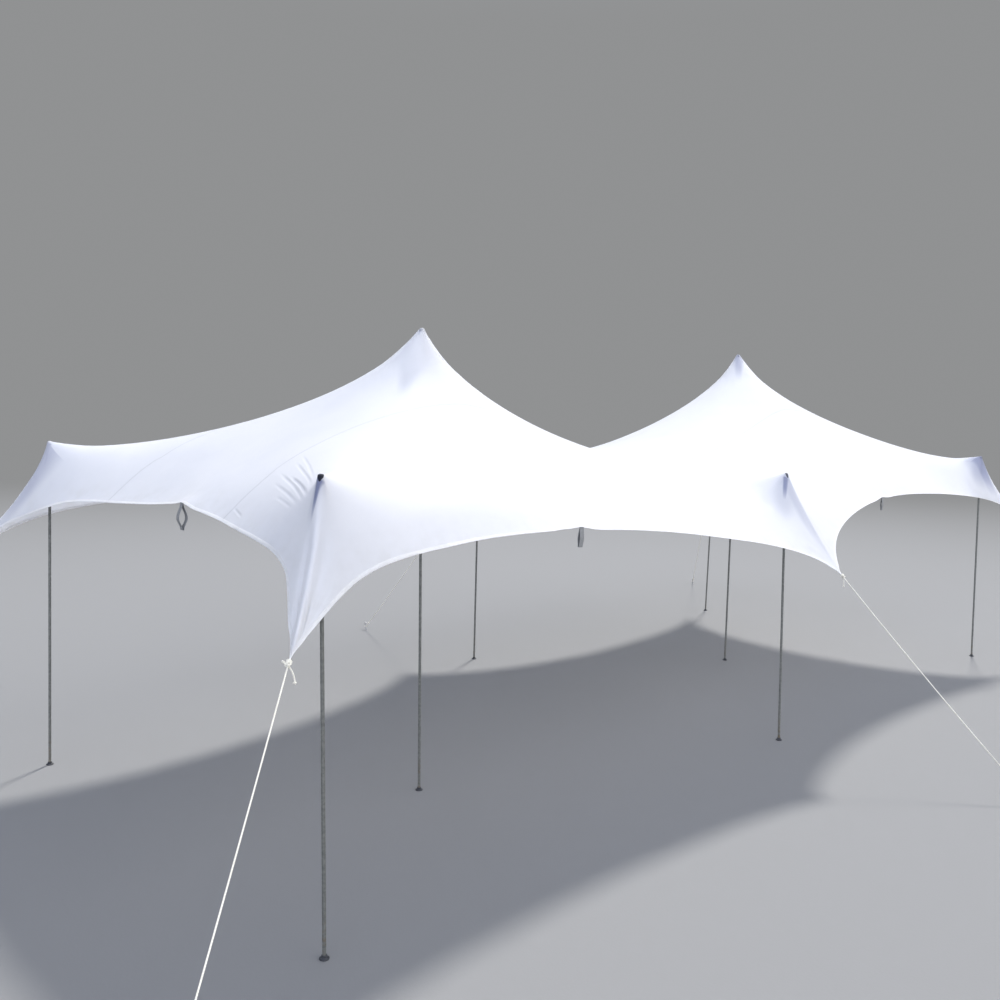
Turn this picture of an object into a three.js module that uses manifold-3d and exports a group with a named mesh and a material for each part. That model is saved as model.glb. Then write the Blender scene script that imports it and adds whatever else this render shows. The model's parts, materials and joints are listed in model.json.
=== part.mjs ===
// Stretch tent: one elastic canopy of three sewn strips on eight poles, guyed to six pegs.
// Millimetres, +Z up. X runs along the long side and Y across, with the front side at low Y.
// The origin is on the ground, in the middle of the rectangle that the pegs stand on.

import * as THREE from 'three';
import { mergeVertices } from 'three/addons/utils/BufferGeometryUtils.js';
import Module from 'manifold-3d';

const wasm = await Module();
wasm.setup();

// Gap left between pieces that touch
const SEAT_GAP = 0.3;
const SEAM_GAP = 0.4;

// Cloth as it is cut, before it is stretched over the poles
const CLOTH_LENGTH = 10000;
const CLOTH_WIDTH = 5000;
const CLOTH_THICKNESS = 3;
const SEAM_AT = [CLOTH_WIDTH / 3, (2 * CLOTH_WIDTH) / 3];

// How far in from the cloth's edges the outer poles push it up
const INSET_LEFT_END = 517;
const INSET_RIGHT_END = 360;
const INSET_FRONT_SIDE = 510;
const INSET_BACK_SIDE = 550;

// Stretch of the cloth: tension at its cut size, stiffness along the strips and on the bias beside
// the stiffness across them, and the width of cloth that is as stiff as the hem
const PRESTRETCH = 0.196;
const ALONG_STIFFNESS = 0.311;
const BIAS_STIFFNESS = 0.63;
const HEM_STIFFNESS = 930;
const SLACK_TENSION = 0.0005;
const ROUGH_PRESTRETCH = 3;
const ROUGH_STEPS = 500;
const RELAX_STEPS = 3500;
const STABLE_MASS = 1.6;

// Half of the flat place that a pole head makes in the cloth
const CROWN_HALF = 14;

// Where the left end hangs slack between its corners and its loop, and how far in that reaches
const LEFT_END_SAGS = [
  { at: 1500, half: 750, depth: 33 },
  { at: 3080, half: 950, depth: 48 },
];
const LEFT_END_SAG_REACH = 800;

// Widest cell of the cloth's grid, near its edges and poles and far from them
const CELL_NEAR = 270;
const CELL_FAR = 420;
const SAME_PLACE = 1e-6;

// Poles: where each stands, where its head is, and where it meets the cut cloth
const POLES = {
  front_left: {
    foot: [-4650, -1930],
    head: [-4650, -1930, 2442],
    cloth: [INSET_LEFT_END, INSET_FRONT_SIDE],
  },
  front_middle: {
    foot: [120, -1905],
    head: [90, -1850, 2310],
    cloth: [CLOTH_LENGTH / 2, INSET_FRONT_SIDE],
  },
  front_right: {
    foot: [4635, -2035],
    head: [4610, -1965, 2385],
    cloth: [CLOTH_LENGTH - INSET_RIGHT_END, INSET_FRONT_SIDE],
  },
  back_left: {
    foot: [-4600, 1745],
    head: [-4510, 1715, 2496],
    cloth: [INSET_LEFT_END, CLOTH_WIDTH - INSET_BACK_SIDE],
  },
  back_middle: {
    foot: [120, 1870],
    head: [140, 1855, 2420],
    cloth: [4850, CLOTH_WIDTH - INSET_BACK_SIDE],
  },
  back_right: {
    foot: [4600, 1615],
    head: [4615, 1590, 2420],
    cloth: [CLOTH_LENGTH - INSET_RIGHT_END, CLOTH_WIDTH - INSET_BACK_SIDE],
  },
  peak_left: {
    foot: [-2865, -605],
    head: [-2865, -605, 3330],
    cloth: [2175, 2320],
  },
  peak_right: {
    foot: [2235, -115],
    head: [2225, -105, 3477],
    cloth: [7365, 2415],
  },
};

// Guyed points of the edge: the cloth's tip, its place on the cut cloth, and the peg
const GUYS = {
  front_left: { tip: [-4975, -2140, 1630], cloth: [0, 0], peg: [-6435, -3315] },
  front_middle: { tip: [85, -2390, 1510], cloth: [CLOTH_LENGTH / 2, 0], peg: [120, -3875] },
  front_right: { tip: [5200, -2275, 1660], cloth: [CLOTH_LENGTH, 0], peg: [6435, -3265] },
  back_left: { tip: [-5075, 2050, 1640], cloth: [0, CLOTH_WIDTH], peg: [-6435, 3080] },
  back_middle: { tip: [140, 2375, 1630], cloth: [CLOTH_LENGTH / 2, CLOTH_WIDTH], peg: [140, 3875] },
  back_right: { tip: [5050, 1930, 1640], cloth: [CLOTH_LENGTH, CLOTH_WIDTH], peg: [6435, 3010] },
};

// Spare loops that hang from the hem about halfway between the guyed points. Those at the ends hang
// open and those on the long sides nearly flat.
const LOOP_LEFT_HALF = 2325;
const LOOP_RIGHT_HALF = 7105;
const LOOP_ENDS = 2235;
const OPEN_LOOP = { length: 168, belly: 56 };
const FLAT_LOOP = { length: 130, belly: 22 };
const LOOPS = {
  front_left: { cloth: [LOOP_LEFT_HALF, 0], size: FLAT_LOOP },
  front_right: { cloth: [LOOP_RIGHT_HALF, 0], size: FLAT_LOOP },
  back_left: { cloth: [LOOP_LEFT_HALF, CLOTH_WIDTH], size: FLAT_LOOP },
  back_right: { cloth: [LOOP_RIGHT_HALF, CLOTH_WIDTH], size: FLAT_LOOP },
  left_end: { cloth: [0, LOOP_ENDS], size: OPEN_LOOP },
  right_end: { cloth: [CLOTH_LENGTH, LOOP_ENDS], size: OPEN_LOOP },
};

// Pole tube, head and foot
const TUBE_RADIUS = 10;
const TUBE_SIDES = 12;
const HEAD_RADIUS = 13;
const HEAD_CROWN_RADIUS = 9;
const HEAD_HEIGHT = 30;
const FOOT_RADIUS = 26;
const FOOT_TOP_RADIUS = 15;
const FOOT_HEIGHT = 22;
const FOOT_FLANGE = 7;
const TURNED_SIDES = 12;

// Guy rope, its knots, and the peg
const ROPE_RADIUS = 4;
const ROPE_SIDES = 8;
const ROPE_STEPS = 5;
const ROPE_SAG = 0.008;
const TIP_KNOT_RADIUS = 17;
const PEG_KNOT_RADIUS = 9;
const PEG_KNOT_FROM_PEG = 70;
const KNOT_SIDES = 8;
const KNOT_RINGS = 6;
const HITCH_HEIGHT = 46;
const PEG_RADIUS = 8;
const PEG_HEIGHT = 95;
const PEG_HEAD_RADIUS = 18;
const PEG_HEAD_THICKNESS = 6;
const PEG_LEAN = 0.27;

// Spare loop: a doubled strap, widest a little over halfway down
const LOOP_WIDTH = 38;
const LOOP_TOP_THICKNESS = 5;
const LOOP_FOLD_RADIUS = 5;
const LOOP_BELLY_AT = 0.58;
const LOOP_STRAP = 2;
const LOOP_SIDE_STEPS = 9;
const LOOP_BOTTOM_STEPS = 4;

// Finishes
const FINISH = {
  cloth: { color: 0xe9ecf4, roughness: 0.72, metalness: 0 },
  pole: { color: 0x8d9290, roughness: 0.45, metalness: 0.8 },
  rubber: { color: 0x22242a, roughness: 0.8, metalness: 0 },
  rope: { color: 0xd9d6c6, roughness: 0.85, metalness: 0 },
  peg: { color: 0x85898c, roughness: 0.5, metalness: 0.8 },
  strap: { color: 0xc9cbd2, roughness: 0.8, metalness: 0 },
};

const tent = new THREE.Group();

function addMesh(parent, name, geometry, finish) {
  const mesh = new THREE.Mesh(geometry, new THREE.MeshStandardMaterial(FINISH[finish]));
  mesh.name = name;
  parent.add(mesh);
  return mesh;
}

// Grid lines from one marked place to the next, closer together near the marks
function gridLines(marks) {
  const lines = [marks[0]];
  for (let k = 1; k < marks.length; k += 1) {
    const start = marks[k - 1];
    const span = marks[k] - start;
    const cell = span > 2.5 * CELL_FAR ? CELL_FAR : CELL_NEAR;
    const cells = Math.max(1, Math.round(span / cell));
    for (let n = 1; n <= cells; n += 1) {
      lines.push(start + (span * n) / cells);
    }
  }
  return lines;
}

function sortedMarks(values) {
  return [...new Set(values)].sort((a, b) => a - b);
}

function crownMarks(axis) {
  const centres = Object.values(POLES).map((pole) => pole.cloth[axis]);
  return [...new Set(centres)].flatMap((at) => [at - CROWN_HALF, at + CROWN_HALF]);
}

const acrossLines = gridLines(sortedMarks([0, ...crownMarks(1), ...SEAM_AT, CLOTH_WIDTH]));
const alongLines = gridLines(sortedMarks([0, ...crownMarks(0), CLOTH_LENGTH / 2, CLOTH_LENGTH]));
const ALONG = alongLines.length;
const ACROSS = acrossLines.length;

function nodeAt(i, j) {
  return i * ACROSS + j;
}

function lineIndex(lines, value) {
  return lines.findIndex((line) => Math.abs(line - value) < SAME_PLACE);
}

// Half the cells on both sides of each grid line: the width of cloth that its threads stand for
function shareOfCloth(lines) {
  return lines.map((line, k) => {
    const before = k > 0 ? line - lines[k - 1] : 0;
    const after = k < lines.length - 1 ? lines[k + 1] - line : 0;
    return (before + after) / 2;
  });
}

function clothThreads() {
  const threads = [];
  const alongShare = shareOfCloth(alongLines);
  const acrossShare = shareOfCloth(acrossLines);
  for (let i = 0; i < ALONG; i += 1) {
    for (let j = 0; j < ACROSS; j += 1) {
      const stepAlong = i < ALONG - 1 ? alongLines[i + 1] - alongLines[i] : 0;
      const stepAcross = j < ACROSS - 1 ? acrossLines[j + 1] - acrossLines[j] : 0;
      const hemAlong = j === 0 || j === ACROSS - 1 ? HEM_STIFFNESS : 0;
      const hemAcross = i === 0 || i === ALONG - 1 ? HEM_STIFFNESS : 0;
      if (stepAlong) {
        const along = ALONG_STIFFNESS * acrossShare[j] + hemAlong;
        threads.push([nodeAt(i, j), nodeAt(i + 1, j), along, stepAlong]);
      }
      if (stepAcross) {
        threads.push([nodeAt(i, j), nodeAt(i, j + 1), alongShare[i] + hemAcross, stepAcross]);
      }
      if (stepAlong && stepAcross) {
        const bias = Math.hypot(stepAlong, stepAcross);
        const stiffness = (BIAS_STIFFNESS * stepAlong * stepAcross) / bias;
        threads.push([nodeAt(i, j), nodeAt(i + 1, j + 1), stiffness, bias]);
        threads.push([nodeAt(i + 1, j), nodeAt(i, j + 1), stiffness, bias]);
      }
    }
  }
  return threads;
}

// Nodes that lie on the pole heads, and their places
function nodesOnHeads() {
  const held = new Map();
  for (const { head, cloth } of Object.values(POLES)) {
    for (let i = 0; i < ALONG; i += 1) {
      for (let j = 0; j < ACROSS; j += 1) {
        const x = alongLines[i] - cloth[0];
        const y = acrossLines[j] - cloth[1];
        if (Math.max(Math.abs(x), Math.abs(y)) <= CROWN_HALF + SAME_PLACE) {
          held.set(nodeAt(i, j), [head[0] + x, head[1] + y, head[2]]);
        }
      }
    }
  }
  return held;
}

function nearestNode(along, across) {
  const nearest = (lines, value) => {
    const gaps = lines.map((line) => Math.abs(line - value));
    return gaps.indexOf(Math.min(...gaps));
  };
  return nodeAt(nearest(alongLines, along), nearest(acrossLines, across));
}

const heldByHeads = nodesOnHeads();

// Places of the cloth's nodes once its threads pull evenly between what holds it
function stretchCloth() {
  const threads = clothThreads();
  const held = new Map(heldByHeads);
  for (const { tip, cloth } of Object.values(GUYS)) {
    held.set(nearestNode(cloth[0], cloth[1]), tip);
  }
  const count = ALONG * ACROSS;
  const place = new Float64Array(count * 3);
  const speed = new Float64Array(count * 3);
  const force = new Float64Array(count * 3);
  const mass = new Float64Array(count);
  for (let i = 0; i < ALONG; i += 1) {
    for (let j = 0; j < ACROSS; j += 1) {
      const at = held.get(nodeAt(i, j)) ?? [
        alongLines[i] - CLOTH_LENGTH / 2,
        acrossLines[j] - CLOTH_WIDTH / 2,
        POLES.back_middle.head[2],
      ];
      place.set(at, nodeAt(i, j) * 3);
    }
  }
  for (const [a, b, stiffness, length] of threads) {
    mass[a] += stiffness / length;
    mass[b] += stiffness / length;
  }
  const relax = (prestretch, steps) => {
    const heavy = STABLE_MASS * Math.max(1, prestretch);
    let energyBefore = 0;
    speed.fill(0);
    for (let step = 0; step < steps; step += 1) {
      force.fill(0);
      for (const [a, b, stiffness, length] of threads) {
        const dx = place[b * 3] - place[a * 3];
        const dy = place[b * 3 + 1] - place[a * 3 + 1];
        const dz = place[b * 3 + 2] - place[a * 3 + 2];
        const now = Math.sqrt(dx * dx + dy * dy + dz * dz);
        const strain = (now - length) / length + prestretch;
        const pull = (stiffness * Math.max(strain, SLACK_TENSION)) / now;
        force[a * 3] += dx * pull;
        force[a * 3 + 1] += dy * pull;
        force[a * 3 + 2] += dz * pull;
        force[b * 3] -= dx * pull;
        force[b * 3 + 1] -= dy * pull;
        force[b * 3 + 2] -= dz * pull;
      }
      let energy = 0;
      for (let node = 0; node < count; node += 1) {
        if (held.has(node)) {
          continue;
        }
        for (let axis = node * 3; axis < node * 3 + 3; axis += 1) {
          speed[axis] += force[axis] / (heavy * mass[node]);
          energy += heavy * mass[node] * speed[axis] * speed[axis];
        }
      }
      // The motion is stopped each time that it peaks, which brings the cloth to rest
      if (energy < energyBefore) {
        speed.fill(0);
        energyBefore = 0;
      } else {
        energyBefore = energy;
      }
      for (let axis = 0; axis < count * 3; axis += 1) {
        place[axis] += speed[axis];
      }
    }
  };
  relax(ROUGH_PRESTRETCH, ROUGH_STEPS);
  relax(PRESTRETCH, RELAX_STEPS);
  return place;
}

const clothPlaces = stretchCloth();

// Let the slack left end hang down between the points that hold it
function sagLeftEnd() {
  for (let i = 0; i < ALONG; i += 1) {
    const inward = THREE.MathUtils.smoothstep(LEFT_END_SAG_REACH - alongLines[i], 0, LEFT_END_SAG_REACH);
    for (let j = 0; j < ACROSS; j += 1) {
      for (const { at, half, depth } of LEFT_END_SAGS) {
        const aside = Math.min(1, Math.abs(acrossLines[j] - at) / half);
        clothPlaces[nodeAt(i, j) * 3 + 2] -= depth * inward * Math.cos((Math.PI * aside) / 2) ** 2;
      }
    }
  }
}

sagLeftEnd();

function clothPoint(i, j) {
  return new THREE.Vector3().fromArray(clothPlaces, nodeAt(i, j) * 3);
}

// Direction of the grid line that runs along the cloth through a node
function clothTangent(i, j) {
  return clothPoint(Math.min(i + 1, ALONG - 1), j).sub(clothPoint(Math.max(i - 1, 0), j)).normalize();
}

// Upward normal of the cloth at a node, from the grid lines through it, and level on a pole head
function clothNormal(i, j) {
  if (heldByHeads.has(nodeAt(i, j))) {
    return new THREE.Vector3(0, 0, 1);
  }
  const across = clothPoint(i, Math.min(j + 1, ACROSS - 1)).sub(clothPoint(i, Math.max(j - 1, 0)));
  return clothTangent(i, j).cross(across.normalize()).normalize();
}

// One strip of the canopy as a thin closed sheet, its top face where the cloth's top face is
function stripGeometry(firstRow, lastRow) {
  const rows = lastRow - firstRow + 1;
  const layer = ALONG * rows;
  const positions = [];
  const top = (i, row) => i * rows + row;
  const under = (i, row) => layer + i * rows + row;
  for (const depth of [0, CLOTH_THICKNESS]) {
    for (let i = 0; i < ALONG; i += 1) {
      for (let j = firstRow; j <= lastRow; j += 1) {
        const point = clothPoint(i, j);
        const normal = clothNormal(i, j);
        const across = normal.clone().cross(clothTangent(i, j)).normalize();
        if (j === firstRow && j > 0) {
          point.addScaledVector(across, SEAM_GAP / 2);
        }
        if (j === lastRow && j < ACROSS - 1) {
          point.addScaledVector(across, -SEAM_GAP / 2);
        }
        point.addScaledVector(normal, -depth);
        positions.push(point.x, point.y, point.z);
      }
    }
  }
  const faces = [];
  const quad = (a, b, c, d) => faces.push(a, b, c, a, c, d);
  for (let i = 0; i < ALONG - 1; i += 1) {
    for (let row = 0; row < rows - 1; row += 1) {
      quad(top(i, row), top(i + 1, row), top(i + 1, row + 1), top(i, row + 1));
      faces.push(under(i, row), under(i + 1, row + 1), under(i + 1, row));
      faces.push(under(i, row), under(i, row + 1), under(i + 1, row + 1));
    }
    quad(under(i, 0), under(i + 1, 0), top(i + 1, 0), top(i, 0));
    quad(top(i + 1, rows - 1), under(i + 1, rows - 1), under(i, rows - 1), top(i, rows - 1));
  }
  for (let row = 0; row < rows - 1; row += 1) {
    quad(top(0, row), top(0, row + 1), under(0, row + 1), under(0, row));
    const end = ALONG - 1;
    quad(under(end, row), under(end, row + 1), top(end, row + 1), top(end, row));
  }
  const geometry = new THREE.BufferGeometry();
  geometry.setAttribute('position', new THREE.Float32BufferAttribute(positions, 3));
  geometry.setIndex(faces);
  return geometry;
}

function addCanopy() {
  const canopy = new THREE.Group();
  const seams = SEAM_AT.map((at) => lineIndex(acrossLines, at));
  addMesh(canopy, 'canopy_front_strip', stripGeometry(0, seams[0]), 'cloth');
  addMesh(canopy, 'canopy_middle_strip', stripGeometry(seams[0], seams[1]), 'cloth');
  addMesh(canopy, 'canopy_back_strip', stripGeometry(seams[1], ACROSS - 1), 'cloth');
  tent.add(canopy);
}

// Lean a piece that stands on the ground without tilting its level faces
function lean(geometry, shiftX, shiftY) {
  const shear = new THREE.Matrix4().set(1, 0, shiftX, 0, 0, 1, shiftY, 0, 0, 0, 1, 0, 0, 0, 0, 1);
  geometry.applyMatrix4(shear);
  return geometry;
}

// A turned piece from its profile of radius and height, standing on its own axis
function turned(profile, sides) {
  const points = profile.map(([radius, height]) => new THREE.Vector2(radius, height));
  const geometry = new THREE.LatheGeometry(points, sides);
  geometry.rotateX(Math.PI / 2);
  return geometry;
}

function headGeometry() {
  return turned(
    [
      [0, 0],
      [TUBE_RADIUS + 1.5, 0],
      [HEAD_RADIUS, 4],
      [HEAD_RADIUS, HEAD_HEIGHT - 8],
      [HEAD_RADIUS - 1, HEAD_HEIGHT - 3.5],
      [HEAD_CROWN_RADIUS, HEAD_HEIGHT],
      [0, HEAD_HEIGHT],
    ],
    TURNED_SIDES,
  );
}

function footGeometry() {
  return turned(
    [
      [0, 0],
      [FOOT_RADIUS - 1, 0],
      [FOOT_RADIUS, 2],
      [FOOT_RADIUS, FOOT_FLANGE],
      [FOOT_TOP_RADIUS, FOOT_FLANGE + 4],
      [FOOT_TOP_RADIUS, FOOT_HEIGHT],
      [0, FOOT_HEIGHT],
    ],
    TURNED_SIDES,
  );
}

function addPoles() {
  for (const [name, { foot, head }] of Object.entries(POLES)) {
    const stand = new THREE.Group();
    stand.position.set(foot[0], foot[1], 0);
    const slopeX = (head[0] - foot[0]) / head[2];
    const slopeY = (head[1] - foot[1]) / head[2];
    const headBase = head[2] - CLOTH_THICKNESS - SEAT_GAP - HEAD_HEIGHT;
    const tubeBase = FOOT_HEIGHT + SEAT_GAP;
    const tubeLength = headBase - SEAT_GAP - tubeBase;
    const tube = new THREE.CylinderGeometry(TUBE_RADIUS, TUBE_RADIUS, tubeLength, TUBE_SIDES);
    tube.rotateX(Math.PI / 2);
    tube.translate(0, 0, tubeBase + tubeLength / 2);
    addMesh(stand, `pole_${name}`, lean(tube, slopeX, slopeY), 'pole');
    addMesh(stand, `pole_foot_${name}`, footGeometry(), 'rubber');
    const cap = addMesh(stand, `pole_head_${name}`, headGeometry(), 'rubber');
    cap.position.set(head[0] - foot[0], head[1] - foot[1], headBase);
    tent.add(stand);
  }
}

function pegGeometry(slopeX, slopeY) {
  const neck = PEG_HEIGHT - PEG_HEAD_THICKNESS;
  const peg = turned(
    [
      [0, 0],
      [PEG_RADIUS, 0],
      [PEG_RADIUS, neck],
      [PEG_HEAD_RADIUS, neck],
      [PEG_HEAD_RADIUS, PEG_HEIGHT],
      [0, PEG_HEIGHT],
    ],
    TURNED_SIDES,
  );
  return lean(peg, slopeX, slopeY);
}

// Closed mesh with its shared corners merged, as a solid that can be joined to others
function toSolid(geometry) {
  const bare = geometry.clone();
  bare.deleteAttribute('normal');
  bare.deleteAttribute('uv');
  const merged = mergeVertices(bare, 1e-4);
  return new wasm.Manifold(
    new wasm.Mesh({
      numProp: 3,
      vertProperties: new Float32Array(merged.attributes.position.array),
      triVerts: new Uint32Array(merged.index.array),
    }),
  );
}

function fromSolid(solid) {
  const mesh = solid.getMesh();
  const geometry = new THREE.BufferGeometry();
  geometry.setAttribute('position', new THREE.BufferAttribute(mesh.vertProperties, 3));
  geometry.setIndex(new THREE.BufferAttribute(mesh.triVerts, 1));
  return geometry;
}

function roundSection(radius, sides) {
  const section = new THREE.Shape();
  section.absarc(0, 0, radius, 0, 2 * Math.PI, false);
  return new THREE.Shape(section.getPoints(sides).slice(0, sides));
}

function ropeTube(from, to) {
  const middle = from.clone().lerp(to, 0.5);
  middle.z -= 2 * ROPE_SAG * from.distanceTo(to);
  const path = new THREE.QuadraticBezierCurve3(from, middle, to);
  return new THREE.ExtrudeGeometry(roundSection(ROPE_RADIUS, ROPE_SIDES), {
    steps: ROPE_STEPS,
    extrudePath: path,
  });
}

// A knot is round, with a corner of its facets facing along the rope
function knot(radius, at, alongRope) {
  const ball = new THREE.SphereGeometry(radius, KNOT_SIDES, KNOT_RINGS);
  const turn = new THREE.Quaternion().setFromUnitVectors(new THREE.Vector3(0, 1, 0), alongRope);
  ball.applyQuaternion(turn);
  ball.translate(at.x, at.y, at.z);
  return ball;
}

// The turn of rope round the peg, leaning as the peg does
function hitchRing(peg, slopeX, slopeY) {
  const centre = PEG_RADIUS + SEAT_GAP + ROPE_RADIUS;
  const profile = [];
  for (let n = 0; n <= ROPE_SIDES; n += 1) {
    const angle = (2 * Math.PI * n) / ROPE_SIDES;
    profile.push([centre + ROPE_RADIUS * Math.cos(angle), HITCH_HEIGHT + ROPE_RADIUS * Math.sin(angle)]);
  }
  const ring = lean(turned(profile, TURNED_SIDES), slopeX, slopeY);
  ring.translate(peg[0], peg[1], 0);
  return ring;
}

function addGuys() {
  for (const [name, { tip, peg }] of Object.entries(GUYS)) {
    const away = new THREE.Vector3(peg[0] - tip[0], peg[1] - tip[1], 0).normalize();
    const slopeX = away.x * PEG_LEAN;
    const slopeY = away.y * PEG_LEAN;
    const stake = addMesh(tent, `peg_${name}`, pegGeometry(slopeX, slopeY), 'peg');
    stake.position.set(peg[0], peg[1], 0);

    const end = new THREE.Vector3(peg[0], peg[1], HITCH_HEIGHT);
    end.addScaledVector(away, PEG_LEAN * HITCH_HEIGHT - PEG_RADIUS - SEAT_GAP - ROPE_RADIUS);
    const corner = new THREE.Vector3(...tip);
    const pull = end.clone().sub(corner).normalize();
    const start = corner.clone().addScaledVector(pull, TIP_KNOT_RADIUS + SEAT_GAP);
    const pegKnot = end.clone().addScaledVector(pull, -PEG_KNOT_FROM_PEG);
    const rope = [
      ropeTube(start, end),
      knot(TIP_KNOT_RADIUS, start, pull),
      knot(PEG_KNOT_RADIUS, pegKnot, pull),
    ]
      .map(toSolid)
      .reduce((whole, piece) => whole.add(piece), toSolid(hitchRing(peg, slopeX, slopeY)));
    addMesh(tent, `guy_rope_${name}`, fromSolid(rope), 'rope');
  }
}

// Side view of a doubled strap: flat where it is sewn, open at its belly and folded at the bottom
function loopOutline({ length, belly }, inset) {
  const top = LOOP_TOP_THICKNESS / 2 - inset;
  const widest = belly / 2 - inset;
  const fold = LOOP_FOLD_RADIUS - inset;
  const foldDepth = length - LOOP_FOLD_RADIUS;
  const rightSide = [];
  for (let n = 0; n < LOOP_SIDE_STEPS; n += 1) {
    const share = n / LOOP_SIDE_STEPS;
    const upper = share < LOOP_BELLY_AT;
    const towards = upper ? share / LOOP_BELLY_AT : (1 - share) / (1 - LOOP_BELLY_AT);
    const swell = (1 - Math.cos(Math.PI * towards)) / 2;
    const end = upper ? top : fold;
    rightSide.push([end + (widest - end) * swell, -inset - (foldDepth - inset) * share]);
  }
  const leftSide = rightSide.map(([across, depth]) => [-across, depth]).reverse();
  const bottom = [];
  for (let n = 0; n <= LOOP_BOTTOM_STEPS; n += 1) {
    const angle = (-Math.PI * n) / LOOP_BOTTOM_STEPS;
    bottom.push([fold * Math.cos(angle), -foldDepth + fold * Math.sin(angle)]);
  }
  const clockwise = [...rightSide, ...bottom, ...leftSide];
  return clockwise.reverse().map(([x, y]) => new THREE.Vector2(x, y));
}

function loopGeometry(size) {
  const shape = new THREE.Shape(loopOutline(size, 0));
  shape.holes.push(new THREE.Path(loopOutline(size, LOOP_STRAP)));
  const strap = new THREE.ExtrudeGeometry(shape, { depth: LOOP_WIDTH, bevelEnabled: false });
  strap.translate(0, 0, -LOOP_WIDTH / 2);
  return strap;
}

// Point of the hem between two grid lines, and the direction of the hem there
function hemAt([along, across]) {
  const onSide = across === 0 || across === CLOTH_WIDTH;
  const lines = onSide ? alongLines : acrossLines;
  const value = onSide ? along : across;
  const k = lines.findIndex((line) => line > value) - 1;
  const fixed = onSide ? (across === 0 ? 0 : ACROSS - 1) : along === 0 ? 0 : ALONG - 1;
  const before = onSide ? clothPoint(k, fixed) : clothPoint(fixed, k);
  const after = onSide ? clothPoint(k + 1, fixed) : clothPoint(fixed, k + 1);
  const share = (value - lines[k]) / (lines[k + 1] - lines[k]);
  return { point: before.clone().lerp(after, share), tangent: after.sub(before).normalize() };
}

function addLoops() {
  for (const [name, { cloth, size }] of Object.entries(LOOPS)) {
    const { point, tangent } = hemAt(cloth);
    const level = new THREE.Vector3(tangent.x, tangent.y, 0).normalize();
    const outward = new THREE.Vector3(level.y, -level.x, 0);
    const fromCentre = new THREE.Vector3(point.x, point.y, 0);
    if (outward.dot(fromCentre) < 0) {
      outward.negate();
    }
    const up = tangent.clone().cross(outward).normalize();
    if (up.z < 0) {
      up.negate();
    }
    const side = outward.clone().cross(up);
    const strap = addMesh(tent, `spare_loop_${name}`, loopGeometry(size), 'strap');
    strap.quaternion.setFromRotationMatrix(new THREE.Matrix4().makeBasis(outward, up, side));
    strap.position.copy(point).addScaledVector(outward, SEAT_GAP + LOOP_TOP_THICKNESS / 2);
  }
}

addCanopy();
addPoles();
addGuys();
addLoops();

export default tent;
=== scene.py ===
"""Stretch tent: a white elastic canopy with two peaks, on eight poles, guyed to six pegs.

Metres, +Z up. X runs along the long side and Y across, with the front side at low Y. The canopy is
one sheet of knit. Its threads are relaxed between the pole heads and the guyed tips, and every other
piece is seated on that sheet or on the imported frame.
"""

import json
import logging
import math
from contextlib import contextmanager
from dataclasses import dataclass, field
from enum import Enum
from itertools import pairwise
from typing import Iterator

import bpy
import numpy as np
from mathutils import Matrix, Vector

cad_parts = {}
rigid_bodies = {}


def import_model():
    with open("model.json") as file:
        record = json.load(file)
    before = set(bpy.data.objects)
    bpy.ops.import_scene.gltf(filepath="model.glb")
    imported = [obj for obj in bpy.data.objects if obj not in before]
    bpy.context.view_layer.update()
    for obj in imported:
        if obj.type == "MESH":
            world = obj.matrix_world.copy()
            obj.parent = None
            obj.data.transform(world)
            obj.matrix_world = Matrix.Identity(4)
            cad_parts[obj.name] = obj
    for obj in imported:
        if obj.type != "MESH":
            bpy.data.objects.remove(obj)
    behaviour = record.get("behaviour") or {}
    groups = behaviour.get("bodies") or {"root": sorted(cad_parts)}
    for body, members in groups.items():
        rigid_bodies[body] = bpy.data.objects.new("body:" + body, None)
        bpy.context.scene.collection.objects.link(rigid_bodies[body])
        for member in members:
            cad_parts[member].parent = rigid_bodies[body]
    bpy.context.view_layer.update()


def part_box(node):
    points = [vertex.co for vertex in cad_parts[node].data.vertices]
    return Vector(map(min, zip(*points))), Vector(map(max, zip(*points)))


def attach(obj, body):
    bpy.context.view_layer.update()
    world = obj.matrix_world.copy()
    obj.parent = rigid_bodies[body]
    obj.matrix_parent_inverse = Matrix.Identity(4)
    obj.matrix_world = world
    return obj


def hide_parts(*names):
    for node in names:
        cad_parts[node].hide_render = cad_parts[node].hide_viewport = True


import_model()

LOG = logging.getLogger("stretch_tent")
BODY = "root"
# Metres of cloth that the UV map's unit square spans.
UV_SPAN = 16.0
# The studio: rows of the picture, distance of the lamps and of the last thing in view.
PHOTO_ROWS = 1000.0
LAMP_DISTANCE = 20.0
VIEW_END = 400.0
# The knit's face: width of a column, length of a stitch, depth, and how far a stitch slants.
WALE = 0.0022
COURSE = 0.0016
KNIT_DEPTH = 0.00025
KNIT_SLANT = 0.9
# Stitching: shares of the pitch over which a gap turns into thread, and the thread's soft edge.
STITCH_GAP = (0.08, 0.16)
THREAD_EDGE = (0.0004, 0.0009)
# The pegs, which the ropes also turn round: radius, and lean to a metre of height.
PEG_RADIUS = 0.008
PEG_LEAN = 0.27

Point = tuple[float, float, float]
Place = tuple[float, float]
Material = bpy.types.Material
Piece = bpy.types.Object
Socket = bpy.types.NodeSocket


class Slot(Enum):
    """Material slots of the record."""

    CLOTH = "cloth"
    POLE = "pole"
    RUBBER = "rubber"
    ROPE = "rope"
    PEG = "peg"
    STRAP = "strap"


class Side(Enum):
    """The four sides of the cut cloth."""

    FRONT = "front"
    BACK = "back"
    LEFT = "left"
    RIGHT = "right"


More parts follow.
